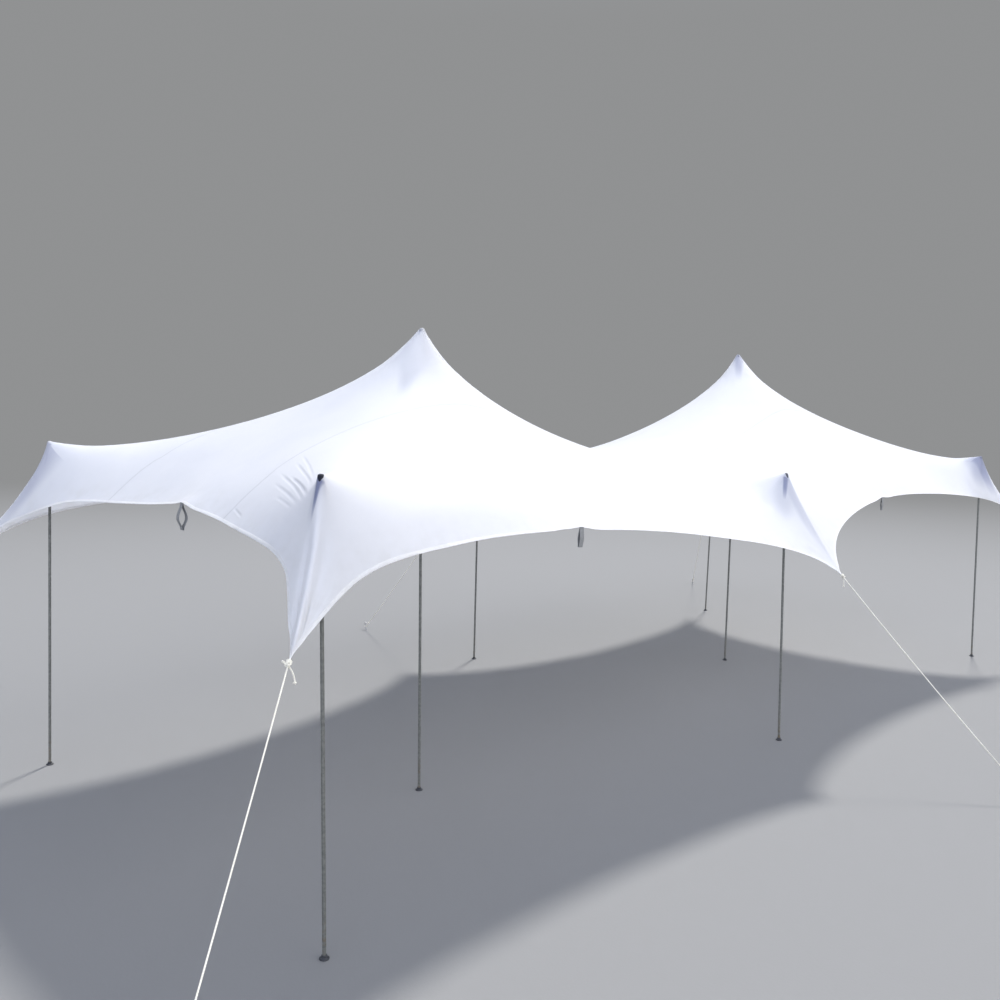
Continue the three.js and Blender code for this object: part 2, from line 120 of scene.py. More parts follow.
@dataclass(frozen=True)
class Mark:
    """A straight line on the cut cloth: a pucker or fold in the knit, or a line of painted shade.

    Attributes:
        start: One end, as distances along and across the cut cloth, in metres.
        end: The other end.
        strength: How strongly it shows, from 0 to 1.
        width: Half its width at the start, in metres.
    """

    start: Place
    end: Place
    strength: float
    width: float = 0.019

    @property
    def length(self) -> float:
        """Distance between the ends."""
        return math.dist(self.start, self.end)

    @property
    def heading(self) -> Place:
        """Direction from the start to the end."""
        return (
            (self.end[0] - self.start[0]) / self.length,
            (self.end[1] - self.start[1]) / self.length,
        )


@dataclass(frozen=True)
class PoleStand:
    """A pole, and the place on the cut cloth that its head pushes up.

    Attributes:
        name: The pole's name in the frame.
        cloth: Distance along and across the cut cloth, in metres.
        towards: Way down the cut cloth in which the painted shadow spot over the head is drawn out.
        streaks: The lines of painted shade that start just below the head, some wide over flaps in shade.
        shows: How strongly the painted shadow of the head shows on the knit, from 0 to 1.
        steep: How much slower than straight the cloth moves away from the head: less is steeper.
    """

    name: str
    cloth: Place
    towards: Place
    streaks: tuple[Mark, ...]
    shows: float
    steep: float = 0.75

    @property
    def foot(self) -> Vector:
        """Middle of the foot on the ground."""
        middle = self._top_of("foot")
        return Vector((middle.x, middle.y, 0.0))

    @property
    def crown(self) -> Vector:
        """Middle of the head's top."""
        return self._top_of("head")

    def _top_of(self, end: str) -> Vector:
        """Middle of the top of the pole's head or foot in the frame."""
        low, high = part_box(f"pole_{end}_{self.name}")
        return Vector(((low[0] + high[0]) / 2, (low[1] + high[1]) / 2, high[2]))


@dataclass(frozen=True)
class Crease:
    """A fold that runs into a guyed tip.

    Attributes:
        angle: Direction from the tip on the cut cloth, in degrees from the long side's hem.
        depth: How far it sinks, in metres, or rises where negative.
        reach: How far it runs from the tip, in metres.
    """

    angle: float
    depth: float
    reach: float


@dataclass(frozen=True)
class Ridge:
    """Height and half width of the ridge that a tip pulls up between itself and its pole."""

    height: float
    width: float


@dataclass(frozen=True)
class Guy:
    """A guyed tip of the canopy.

    Attributes:
        name: The guy's name in the frame.
        tip: The cloth's tip in the air.
        cloth: The tip's place on the cut cloth.
        peg: The peg's place on the ground.
        creases: The folds that run into the tip.
        ridge: The ridge between the tip and its pole.
        tail: End of the spare rope below the tip, from the knot.
    """

    name: str
    tip: Point
    cloth: Place
    peg: Place
    creases: tuple[Crease, ...]
    ridge: Ridge
    tail: Point


CLOTH_LENGTH = 10.0
CLOTH_WIDTH = 5.0
SEAMS_AT = (CLOTH_WIDTH / 3, 2 * CLOTH_WIDTH / 3)
# Grids: closest lines, closest extra line in its own cells, and how many far cells are a wide span.
LEAST_CELL = 0.007
LEAST_CELL_SHARE = 0.45
WIDE_SPAN = 2.5
# Distances of the outer poles' places from the edges of the cut cloth.
INSET_LEFT_END = 0.517
INSET_RIGHT_END = 0.36
INSET_FRONT_SIDE = 0.51
INSET_BACK_SIDE = 0.55

# Each pole's streaks are lines of painted shade: narrow ones just below its head, wide ones over flaps in
# shade.
POLES = (
    PoleStand(
        "front_left",
        (INSET_LEFT_END, INSET_FRONT_SIDE),
        (-0.71, -0.71),
        (Mark((0.500, 0.487), (0.325, 0.437), 1.0, 0.028), Mark((0.50, 0.50), (0.28, 0.46), 0.18, 0.08)),
        1.0,
    ),
    PoleStand(
        "front_middle",
        (CLOTH_LENGTH / 2, INSET_FRONT_SIDE),
        (-0.5, -0.87),
        (
            Mark((4.970, 0.490), (4.825, 0.405), 0.9, 0.034),
            Mark((4.98, 0.50), (4.64, 0.30), 0.18, 0.12),
            Mark((4.955, 0.51), (4.955, 0.0), 0.30, 0.085),
        ),
        0.85,
    ),
    PoleStand(
        "front_right",
        (CLOTH_LENGTH - INSET_RIGHT_END, INSET_FRONT_SIDE),
        (-0.5, -0.87),
        (Mark((9.59, 0.53), (9.65, 0.04), 0.8, 0.15), Mark((9.64, 0.54), (9.38, 0.10), 0.55, 0.2)),
        0.2,
    ),
    PoleStand(
        "back_left",
        (INSET_LEFT_END, CLOTH_WIDTH - INSET_BACK_SIDE),
        (-0.87, 0.5),
        (Mark((0.495, 4.430), (0.230, 4.377), 0.5, 0.030), Mark((0.50, 4.45), (-0.1, 4.66), 0.44, 0.24)),
        0.2,
        0.40,
    ),
    PoleStand(
        "back_middle",
        (4.85, CLOTH_WIDTH - INSET_BACK_SIDE),
        (-0.5, 0.87),
        (Mark((4.820, 4.480), (4.700, 4.570), 0.6),),
        0.6,
    ),
    PoleStand(
        "back_right",
        (CLOTH_LENGTH - INSET_RIGHT_END, CLOTH_WIDTH - INSET_BACK_SIDE),
        (0.71, 0.71),
        (Mark((9.655, 4.470), (9.800, 4.540), 0.6),),
        0.6,
    ),
    PoleStand(
        "peak_left",
        (2.175, 2.32),
        (-0.69, -0.72),
        (Mark((2.160, 2.304), (2.124, 2.268), 0.35, 0.012),),
        0.25,
    ),
    PoleStand(
        "peak_right",
        (7.365, 2.415),
        (-0.83, -0.56),
        (Mark((7.365, 2.415), (7.130, 2.270), 0.5, 0.09),),
        0.4,
    ),
)

# Puckers: shallow folds in relief, with painted shade in their bottoms.
PUCKERS = (
    Mark((0.727, 1.591), (0.513, 0.878), 0.45),
    Mark((0.639, 1.529), (0.452, 0.748), 0.7),
    Mark((0.500, 1.340), (0.402, 0.700), 1.0),
    Mark((0.507, 1.546), (0.364, 0.708), 0.75),
    Mark((0.419, 1.461), (0.336, 0.804), 0.6),
    Mark((0.330, 1.240), (0.298, 0.855), 0.4),
    Mark((0.125, 1.640), (0.094, 1.480), 0.5),
)

# Folds at every tip: shallow relief, with painted shade in their bottoms.
TIP_FOLDS = (
    Mark((0.095, 0.022), (0.235, 0.135), 0.75, 0.026),
    Mark((0.070, 0.010), (0.215, 0.205), 0.6, 0.026),
    Mark((0.050, 0.060), (0.120, 0.310), 0.45, 0.028),
    Mark((0.130, 0.020), (0.360, 0.085), 0.35, 0.026),
)

CORNER_CREASES = (
    Crease(8.0, 0.006, 0.34),
    Crease(19.0, 0.010, 0.46),
    Crease(30.0, 0.010, 0.62),
    Crease(60.0, 0.009, 0.52),
    Crease(72.0, 0.007, 0.42),
    Crease(83.0, 0.005, 0.30),
)
MIDDLE_CREASES = (
    Crease(14.0, 0.004, 0.30),
    Crease(38.0, 0.005, 0.40),
    Crease(64.0, 0.005, 0.40),
    Crease(114.0, 0.005, 0.40),
    Crease(140.0, 0.005, 0.40),
    Crease(165.0, 0.004, 0.30),
)
BROAD_RIDGE = Ridge(0.018, 0.034)
FAINT_RIDGE = Ridge(0.005, 0.016)

GUYS = (
    Guy(
        "front_left",
        (-4.975, -2.14, 1.63),
        (0.0, 0.0),
        (-6.435, -3.315),
        CORNER_CREASES,
        BROAD_RIDGE,
        (0.020, -0.021, -0.080),
    ),
    Guy(
        "front_middle",
        (0.085, -2.39, 1.51),
        (CLOTH_LENGTH / 2, 0.0),
        (0.12, -3.875),
        MIDDLE_CREASES,
        FAINT_RIDGE,
        (0.004, -0.004, -0.075),
    ),
    Guy(
        "front_right",
        (5.2, -2.275, 1.66),
        (CLOTH_LENGTH, 0.0),
        (6.435, -3.265),
        CORNER_CREASES,
        FAINT_RIDGE,
        (-0.03, 0.02, -0.11),
    ),
    Guy(
        "back_left",
        (-5.075, 2.05, 1.64),
        (0.0, CLOTH_WIDTH),
        (-6.435, 3.08),
        CORNER_CREASES,
        FAINT_RIDGE,
        (0.02, 0.03, -0.12),
    ),
    Guy(
        "back_middle",
        (0.14, 2.375, 1.63),
        (CLOTH_LENGTH / 2, CLOTH_WIDTH),
        (0.14, 3.875),
        MIDDLE_CREASES,
        FAINT_RIDGE,
        (0.03, 0.01, -0.11),
    ),
    Guy(
        "back_right",
        (5.05, 1.93, 1.64),
        (CLOTH_LENGTH, CLOTH_WIDTH),
        (6.44, 3.01),
        CORNER_CREASES,
        FAINT_RIDGE,
        (-0.02, -0.03, -0.11),
    ),
)


@dataclass(frozen=True)
class LoopSize:
    """Length of a hanging spare loop, and how far it stands open."""

    length: float
    belly: float


OPEN_LOOP = LoopSize(0.168, 0.056)
FLAT_LOOP = LoopSize(0.130, 0.022)
LOOP_LEFT_HALF = 2.325
LOOP_RIGHT_HALF = 7.105
LOOP_ENDS = 2.235
LOOPS = {
    "front_left": ((LOOP_LEFT_HALF, 0.0), FLAT_LOOP),
    "front_right": ((LOOP_RIGHT_HALF, 0.0), FLAT_LOOP),
    "back_left": ((LOOP_LEFT_HALF, CLOTH_WIDTH), FLAT_LOOP),
    "back_right": ((LOOP_RIGHT_HALF, CLOTH_WIDTH), FLAT_LOOP),
    "left_end": ((0.0, LOOP_ENDS), OPEN_LOOP),
    "right_end": ((CLOTH_LENGTH, LOOP_ENDS), OPEN_LOOP),
}


def clear_selection() -> None:
    """Leave nothing selected, because operators act on all that is."""
    if bpy.context.object and bpy.context.object.mode != "OBJECT":
        bpy.ops.object.mode_set(mode="OBJECT")
    bpy.ops.object.select_all(action="DESELECT")


def pick(piece: Piece) -> None:
    """Select one piece alone and make it the active one."""
    clear_selection()
    piece.select_set(True)
    bpy.context.view_layer.objects.active = piece


def linked(name: str, data: bpy.types.ID) -> Piece:
    """A new object in the scene that shows the given mesh, lamp or camera."""
    made = bpy.data.objects.new(name, data)
    bpy.context.scene.collection.objects.link(made)
    return made


@contextmanager
def editing(piece: Piece) -> Iterator[None]:
    """Edit mode on one mesh object, entered with all of its mesh selected."""
    pick(piece)
    bpy.ops.object.mode_set(mode="EDIT")
    bpy.ops.mesh.select_all(action="SELECT")
    yield
    bpy.ops.object.mode_set(mode="OBJECT")


def smooth(piece: Piece, angle: float) -> None:
    """Shade a piece smooth, apart from edges sharper than an angle in degrees."""
    pick(piece)
    bpy.ops.object.shade_smooth_by_angle(angle=math.radians(angle))


def settle(piece: Piece) -> Piece:
    """Put a piece's place into its mesh, so that it is at the origin, and shade it."""
    pick(piece)
    bpy.ops.object.transform_apply(location=True, rotation=True, scale=True)
    smooth(piece, 35.0)
    return piece


def turned(name: str, profile: list[Place], sides: int) -> Piece:
    """A turned piece, drawn up ring by ring from a round disc.

    Args:
        name: The new object's name.
        profile: Radius and height of each ring, from the bottom up.
        sides: Corners round the piece.

    Returns:
        The closed mesh object, standing on the Z axis.
    """
    clear_selection()
    bpy.ops.mesh.primitive_circle_add(
        vertices=sides,
        radius=profile[0][0],
        fill_type="NGON",
        location=(0.0, 0.0, profile[0][1]),
    )
    piece = bpy.context.active_object
    piece.name = name
    with editing(piece):
        base = profile[0][1]
        for (radius, height), (next_radius, next_height) in pairwise(profile):
            bpy.ops.mesh.extrude_region_move(
                TRANSFORM_OT_translate={"value": (0.0, 0.0, next_height - height)}
            )
            ratio = next_radius / radius
            bpy.ops.transform.resize(
                value=(ratio, ratio, 1.0), center_override=(0.0, 0.0, next_height - base)
            )
        bpy.ops.mesh.select_all(action="SELECT")
        bpy.ops.mesh.normals_make_consistent(inside=False)
    return settle(piece)


def copied(piece: Piece, name: str, place: Matrix) -> Piece:
    """A copy of a piece with a mesh of its own, moved by a matrix."""
    copy = linked(name, piece.data.copy())
    copy.data.transform(place)
    return copy


def leaning(base: Vector, top: Vector) -> Matrix:
    """Shear of an upright piece onto a leaning axis, with its level faces kept level.

    Args:
        base: Where the piece stands.
        top: A point on its axis above the base.

    Returns:
        The matrix that moves the upright piece there.
    """
    rise = top.z - base.z
    lean = Matrix.Identity(4)
    lean[0][2] = (top.x - base.x) / rise
    lean[1][2] = (top.y - base.y) / rise
    return Matrix.Translation(base) @ lean


def mesh_piece(name: str, points: np.ndarray, faces: np.ndarray, metres: np.ndarray) -> Piece:
    """A mesh object from points and faces, smooth all over.

    Args:
        name: The object's name.
        points: Places of the vertices, one row each.
        faces: Vertices of each face, counter-clockwise from outside.
        metres: Distances along and across the cloth or strip of each vertex, for the UV map.

    Returns:
        The new object, at the origin.
    """
    mesh = bpy.data.meshes.new(name)
    mesh.from_pydata(points.tolist(), [], faces.tolist())
    mesh.polygons.foreach_set("use_smooth", np.ones(len(faces), dtype=bool))
    layer = mesh.uv_layers.new(name="cloth")
    corners = np.empty(len(mesh.loops), dtype=np.int32)
    mesh.loops.foreach_get("vertex_index", corners)
    layer.data.foreach_set("uv", (metres / UV_SPAN)[corners].ravel())
    mesh.update()
    return linked(name, mesh)


def report(piece: Piece, slot: Slot, *nodes: str) -> None:
    """Attach a finished piece to the body, hide the frame's nodes that it stands for, and log its faces.

    Args:
        piece: The finished piece.
        slot: The record's material slot; not used.
        *nodes: The frame's nodes that the piece stands for.
    """
    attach(piece, BODY)
    if nodes:
        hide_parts(*nodes)
    LOG.info("%s: %d faces", piece.name, len(piece.data.polygons))


class Bench:
    """Lays out and links the nodes of one tree."""

    def __init__(self, tree: bpy.types.NodeTree) -> None:
        """Work on a node tree."""
        self.tree = tree

    def add(self, kind: str, settings: dict | None = None, **inputs: object) -> bpy.types.Node:
        """Add a node.

        Args:
            kind: The node's type, without its ShaderNode start.
            settings: Values of the node's own properties.
            **inputs: A value or a socket for each input, by its name with _ for spaces.

        Returns:
            The new node.
        """
        node = self.tree.nodes.new(f"ShaderNode{kind}")
        for key, value in (settings or {}).items():
            setattr(node, key, value)
        self.feed_all(node, inputs)
        return node

    def feed(self, socket: Socket, value: object) -> None:
        """Link a socket to an input, or set the input's value."""
        if isinstance(value, Socket):
            self.tree.links.new(value, socket)
        else:
            socket.default_value = value

    def feed_all(self, node: bpy.types.Node, inputs: dict[str, object]) -> None:
        """Feed a node's inputs, each given by its name with _ for spaces."""
        for key, value in inputs.items():
            self.feed(node.inputs[key.replace("_", " ")], value)

    def sum(self, operation: str, *values: object) -> Socket:
        """Result of a Math node's operation on sockets or numbers."""
        node = self.add("Math", {"operation": operation})
        for socket, value in zip(node.inputs, values):
            self.feed(socket, value)
        return node.outputs[0]

    def times(self, first: object, second: object) -> Socket:
        """Product of two sockets or numbers."""
        return self.sum("MULTIPLY", first, second)

    def objects(self) -> Socket:
        """Place on the piece in metres."""
        return self.add("TexCoord").outputs["Object"]

    def height(self) -> Socket:
        """Height above the ground in metres."""
        return self.add("SeparateXYZ", Vector=self.objects()).outputs[2]

    def metres(self) -> tuple[Socket, Socket]:
        """Distances along and across the cut cloth, or a strip, in metres."""
        uv = self.add("UVMap", {"uv_map": "cloth"}).outputs[0]
        vector = self.add("VectorMath", {"operation": "SCALE"}, Vector=uv, Scale=UV_SPAN)
        parts = self.add("SeparateXYZ", Vector=vector.outputs[0])
        return parts.outputs[0], parts.outputs[1]

    def noise(self, vector: Socket, scale: float, detail: float = 3.0, rough: float = 0.55) -> Socket:
        """Soft noise from 0 to 1, with its scale in waves to the metre and its detail in octaves."""
        node = self.add("TexNoise", Vector=vector, Scale=scale, Detail=detail, Roughness=rough)
        return node.outputs["Fac"]

    def stretched(self, vector: Socket, scale: Point, turn: float = 0.0) -> Socket:
        """A pattern's place, scaled along the three axes and turned about Z by degrees."""
        rotation = (0.0, 0.0, math.radians(turn))
        return self.add("Mapping", Vector=vector, Rotation=rotation, Scale=scale).outputs[0]

    def ramp(
        self, value: Socket, low: float, high: float, to_low: float = 0.0, to_high: float = 1.0
    ) -> Socket:
        """A value mapped by a smooth step from low and high to to_low and to_high."""
        ends = {"From_Min": low, "From_Max": high, "To_Min": to_low, "To_Max": to_high}
        return self.add("MapRange", {"interpolation_type": "SMOOTHSTEP"}, Value=value, **ends).outputs[0]

    def blend(self, share: object, first: object, second: object) -> Socket:
        """A mix of two colours, with the share of the second from 0 to 1."""
        node = self.add("Mix", {"data_type": "RGBA"})
        for socket, value in zip((0, 6, 7), (share, first, second)):
            self.feed(node.inputs[socket], (*value, 1.0) if isinstance(value, tuple) else value)
        return node.outputs[2]

    def relief(self, height: Socket, distance: float, below: Socket | None = None) -> Socket:
        """A bump on a coarser one, with the distance in metres that a height of 1 is."""
        node = self.add("Bump", Height=height, Distance=distance, Strength=1.0)
        if below is not None:
            self.feed(node.inputs["Normal"], below)
        return node.outputs[0]


class Surface(Bench):
    """Lays out the nodes of one material, which has one surface shader."""

    def __init__(self, name: str) -> None:
        """Start a material."""
        self.material = bpy.data.materials.new(name)
        self.material.use_nodes = True
        super().__init__(self.material.node_tree)
        self.shader = self.tree.nodes["Principled BSDF"]

    def finish(self, colour: object, roughness: object, normal: object, **constants: float) -> None:
        """Feed the surface shader, with plain values of other inputs by name."""
        named = {"Base_Color": colour, "Roughness": roughness, "Normal": normal}
        self.feed_all(self.shader, named | constants)

    def mix_in(self, share: object, other: bpy.types.Node) -> None:
        """Send a mix of the surface shader and a share of another one to the output."""
        mixed = self.add("MixShader")
        for socket, value in zip(mixed.inputs, (share, self.shader.outputs[0], other.outputs[0])):
            self.feed(socket, value)
        self.feed(self.tree.nodes["Material Output"].inputs["Surface"], mixed.outputs[0])

    def let_through(self, share: float, colour: Socket, normal: Socket) -> None:
        """Let a share of the light pass to the other side."""
        self.mix_in(share, self.add("BsdfTranslucent", Color=colour, Normal=normal))


def knit_height(bench: Bench, along: Socket, across: Socket) -> Socket:
    """Height of a knit's face: columns of small V-shaped stitches.

    Args:
        bench: The material.
        along: Distance along the columns.
        across: Distance across them.

    Returns:
        The height's socket, from 0 to 1.
    """
    column = bench.sum("ABSOLUTE", bench.sum("SINE", bench.times(across, math.pi / WALE)))
    stitches = bench.sum("ADD", bench.times(along, 1.0 / COURSE), bench.times(column, KNIT_SLANT))
    loop = bench.sum("SINE", bench.times(stitches, 2.0 * math.pi))
    return bench.times(column, bench.sum("MULTIPLY_ADD", loop, 0.25, 0.75))


def stitch_rows(
    bench: Bench, along: Socket, across: Socket, rows: tuple[float, ...], pitch: float
) -> Socket:
    """Rows of straight stitches along a strip.

    Args:
        bench: The material.
        along: Distance along the strip.
        across: Distance across it.
        rows: Where the rows run.
        pitch: Length of a stitch and its gap.

    Returns:
        The socket, 1 on the thread and 0 off it.
    """
    beat = bench.sum("PINGPONG", along, pitch / 2)
    thread = bench.ramp(beat, *(pitch * share for share in STITCH_GAP))
    total = None
    for row in rows:
        distance = bench.sum("ABSOLUTE", bench.sum("SUBTRACT", across, row))
        line = bench.ramp(distance, *THREAD_EDGE, 1.0, 0.0)
        total = line if total is None else bench.sum("MAXIMUM", total, line)
    return bench.times(total, thread)


@dataclass(frozen=True)
class KnitFinish:
    """White stretch knit with a thin coating, which lets some light through.

    Attributes:
        white: Colour of the clean knit.
        shade: Colour of its cloudy patches.
        dust: Colour of the dust beside the hems.
        spot: Colour of the painted shadow where a head shows dark through the knit.
        shade_streak: Colour of the painted shade in lines below the heads and over flaps in shade.
        fold: Colour of the painted shade in the bottom of a pucker or tip fold.
        dust_tint: Share of the dust's colour where it is thickest.
        shade_streak_tint: Share of the painted shade's colour where it is strongest.
        fold_shade_tint: Share of the fold's painted shade colour where a pucker is deepest.
        spot_half: Half the width of the spot over a head, on the cut cloth.
        spot_drop: How far the spot runs down the slope from the pole's place.
        spot_middle: Where the spot's middle lies, as a share of that drop.
        spot_reach: Half the spot's length, as a share of that drop.
        spot_edge: Where the spot starts to fade and ends, from its middle, as squares.
        streak_start: Half the length over which a line of painted shade sets in.
        streak_edge: Where a line of painted shade starts to fade and ends sideways, in its own widths.
        streak_fade: Share of its length at which a line of painted shade starts to fade.
        fold_start: Share of its length at which a pucker is full.
        fold_fade: Shares of its length at which a pucker starts to fade and ends.
        crease_depth: Depth of the wide creases all over.
        pucker_depth: Depth of the deepest pucker.
    """

    white: Point = (0.90, 0.905, 0.925)
    shade: Point = (0.86, 0.87, 0.90)
    dust: Point = (0.70, 0.69, 0.66)
    spot: Point = (0.012, 0.016, 0.032)
    shade_streak: Point = (0.17, 0.20, 0.37)
    fold: Point = (0.46, 0.48, 0.55)
    dust_tint: float = 0.25
    shade_streak_tint: float = 0.85
    fold_shade_tint: float = 0.36
    spot_half: float = 0.0115
    spot_drop: float = 0.038
    spot_middle: float = 0.45
    spot_reach: float = 0.6
    spot_edge: Place = (0.80, 1.15)
    streak_start: float = 0.006
    streak_edge: Place = (0.3, 1.2)
    streak_fade: float = 0.35
    fold_start: float = 0.25
    fold_fade: Place = (0.65, 1.05)
    crease_depth: float = 0.004
    pucker_depth: float = 0.005

    @staticmethod
    def _beside(
        bench: Bench, along: Socket, across: Socket, start: Place, heading: Place
    ) -> tuple[Socket, Socket]:
        """Distance along a line of the cut cloth from its start, and aside from it."""
        x = bench.sum("SUBTRACT", along, start[0])
        y = bench.sum("SUBTRACT", across, start[1])
        ahead = bench.sum("MULTIPLY_ADD", x, heading[0], bench.times(y, heading[1]))
        offset = bench.sum("MULTIPLY_ADD", x, -heading[1], bench.times(y, heading[0]))
        return ahead, bench.sum("ABSOLUTE", offset)

    def _marks(self, bench: Bench, along: Socket, across: Socket) -> tuple[Socket, Socket]:
        """Where the painted shadows of the heads lie on the knit, and the lines of painted shade below each.

        Args:
            bench: The material.
            along: Distance along the cut cloth.
            across: Distance across it.

        Returns:
            The strength of the painted shadow spots and of the painted shade streaks.
        """
        spots, streaks = 0.0, 0.0
        for pole in POLES:
            ahead, aside = self._beside(bench, along, across, pole.cloth, pole.towards)
            down = bench.sum("SUBTRACT", ahead, self.spot_middle * self.spot_drop)
            tall = bench.sum("DIVIDE", down, self.spot_reach * self.spot_drop)
            wide = bench.sum("DIVIDE", aside, self.spot_half)
            oval = bench.sum("MULTIPLY_ADD", tall, tall, bench.times(wide, wide))
            spots = bench.sum("MAXIMUM", spots, bench.ramp(oval, *self.spot_edge, pole.shows, 0.0))
            for shade_streak in pole.streaks:
                ahead, aside = self._beside(bench, along, across, shade_streak.start, shade_streak.heading)
                narrowing = -0.5 * shade_streak.width / shade_streak.length
                width = bench.sum("MULTIPLY_ADD", ahead, narrowing, shade_streak.width)
                share = bench.sum("DIVIDE", aside, width)
                inside = bench.ramp(share, *self.streak_edge, shade_streak.strength, 0.0)
                begins = bench.ramp(ahead, -self.streak_start, self.streak_start)
                fades = bench.ramp(ahead, self.streak_fade * shade_streak.length, shade_streak.length, 1.0, 0.0)
                band = bench.times(inside, bench.times(begins, fades))
                streaks = bench.sum("MAXIMUM", streaks, band)
        return spots, streaks

    def _folds(self, bench: Bench, along: Socket, across: Socket, marks: tuple[Mark, ...]) -> Socket:
        """Shallow folds along marked lines of the cut cloth.

        Args:
            bench: The material.
            along: Distance along the cut cloth.
            across: Distance across it.
            marks: The lines.

        Returns:
            Their depth, from 0 to 1.
        """
        total = 0.0
        for mark in marks:
            ahead, aside = self._beside(bench, along, across, mark.start, mark.heading)
            valley = bench.ramp(aside, 0.0, mark.width, mark.strength, 0.0)
            begins = bench.ramp(ahead, -0.02, self.fold_start * mark.length)
            fade_start, fade_end = (share * mark.length for share in self.fold_fade)
            fades = bench.ramp(ahead, fade_start, fade_end, 1.0, 0.0)
            total = bench.sum("MAXIMUM", total, bench.times(valley, bench.times(begins, fades)))
        return total

    @staticmethod
    def _from_nearer_end(bench: Bench, value: Socket, size: float) -> Socket:
        """Distance from the nearer end of a side, so that all corners are alike."""
        from_middle = bench.sum("ABSOLUTE", bench.sum("SUBTRACT", value, size / 2))
        return bench.sum("SUBTRACT", size / 2, from_middle)

    def build(self, name: str, through: float, outer: bool) -> Material:
        """Make the material.

        Args:
            name: The material's name.
            through: Share of the light that passes to the other side.
            outer: Whether it is the upper face, which the heads show through.

        Returns:
            The material.
        """
        bench = Surface(name)
        place = bench.objects()
        along, across = bench.metres()
        cloudy = bench.noise(place, 1.3, 4.0)
        fine = bench.noise(place, 45.0)
        colour = bench.blend(bench.ramp(cloudy, 0.35, 0.75), self.white, self.shade)
        colour = bench.blend(bench.ramp(fine, 0.45, 0.8, 0.0, 0.25), colour, self.shade)
        near_hem = bench.add("Attribute", {"attribute_name": "dust"}).outputs["Fac"]
        dust = bench.times(near_hem, bench.ramp(bench.noise(place, 9.0, 5.0), 0.35, 0.8))
        colour = bench.blend(bench.times(dust, self.dust_tint), colour, self.dust)
        creases = bench.noise(bench.stretched(place, (1.0, 2.6, 2.0), 18.0), 2.4, 2.0)
        folds = bench.relief(creases, self.crease_depth)
        if outer:
            spots, streaks = self._marks(bench, along, across)
            from_ends = self._from_nearer_end(bench, along, CLOTH_LENGTH)
            from_sides = self._from_nearer_end(bench, across, CLOTH_WIDTH)
            puckers = bench.sum(
                "MAXIMUM",
                self._folds(bench, along, across, PUCKERS),
                self._folds(bench, from_ends, from_sides, TIP_FOLDS),
            )
            # Painted shade in the bottoms of the puckers and tip folds.
            colour = bench.blend(bench.ramp(puckers, 0.3, 1.0, 0.0, self.fold_shade_tint), colour, self.fold)
            # Painted shade: lines below the heads and over flaps in shade.
            colour = bench.blend(bench.times(streaks, self.shade_streak_tint), colour, self.shade_streak)
            # Painted shadow: a dark spot over each pole head.
            colour = bench.blend(spots, colour, self.spot)
            folds = bench.relief(puckers, -self.pucker_depth, folds)
        knit = bench.relief(knit_height(bench, along, across), KNIT_DEPTH, folds)
        rough = bench.ramp(fine, 0.3, 0.7, 0.70, 0.82)
        bench.finish(colour, rough, knit, Sheen_Weight=0.15, Sheen_Roughness=0.5)
        bench.let_through(through, colour, knit)
        return bench.material


@dataclass(frozen=True)
class HemFinish:
    """Doubled knit, stitched along in two rows.

    Attributes:
        white: Colour of the clean knit.
        shade: Colour of its cloudy patches.
        dust: Colour of the grime.
        thread: Colour of the stitching.
        rows: Distances of the rows of stitching from the hem's edge or the seam's middle.
        pitch: Length of a stitch and its gap.
        through: Share of the light that passes to the other side.
        gather_depth: Depth of the gathers between the stitches.
        stitch_depth: How far the stitches pull in.
    """

    white: Point = (0.98, 0.975, 0.96)
    shade: Point = (0.94, 0.94, 0.94)
    dust: Point = (0.72, 0.70, 0.65)
    thread: Point = (0.80, 0.81, 0.82)
    rows: tuple[float, ...] = (0.015, 0.0195)
    pitch: float = 0.0065
    through: float = 0.65
    gather_depth: float = 0.0016
    stitch_depth: float = 0.0007

    def build(self, name: str) -> Material:
        """Make the material under a name."""
        bench = Surface(name)
        place = bench.objects()
        along, across = bench.metres()
        fine = bench.noise(place, 60.0)
        colour = bench.blend(bench.ramp(bench.noise(place, 7.0, 4.0), 0.3, 0.8), self.white, self.shade)
        grime = bench.ramp(bench.noise(place, 16.0, 5.0), 0.55, 0.85, 0.0, 0.35)
        colour = bench.blend(grime, colour, self.dust)
        stitches = stitch_rows(bench, along, across, self.rows, self.pitch)
        colour = bench.blend(bench.times(stitches, 0.6), colour, self.thread)
        gathers = bench.relief(bench.noise(place, 38.0, 2.0), self.gather_depth)
        knit = bench.relief(knit_height(bench, along, across), KNIT_DEPTH, gathers)
        sewn = bench.relief(stitches, -self.stitch_depth, knit)
        bench.finish(colour, bench.ramp(fine, 0.3, 0.7, 0.68, 0.8), sewn, Sheen_Weight=0.15)
        bench.let_through(self.through, colour, sewn)
        return bench.material


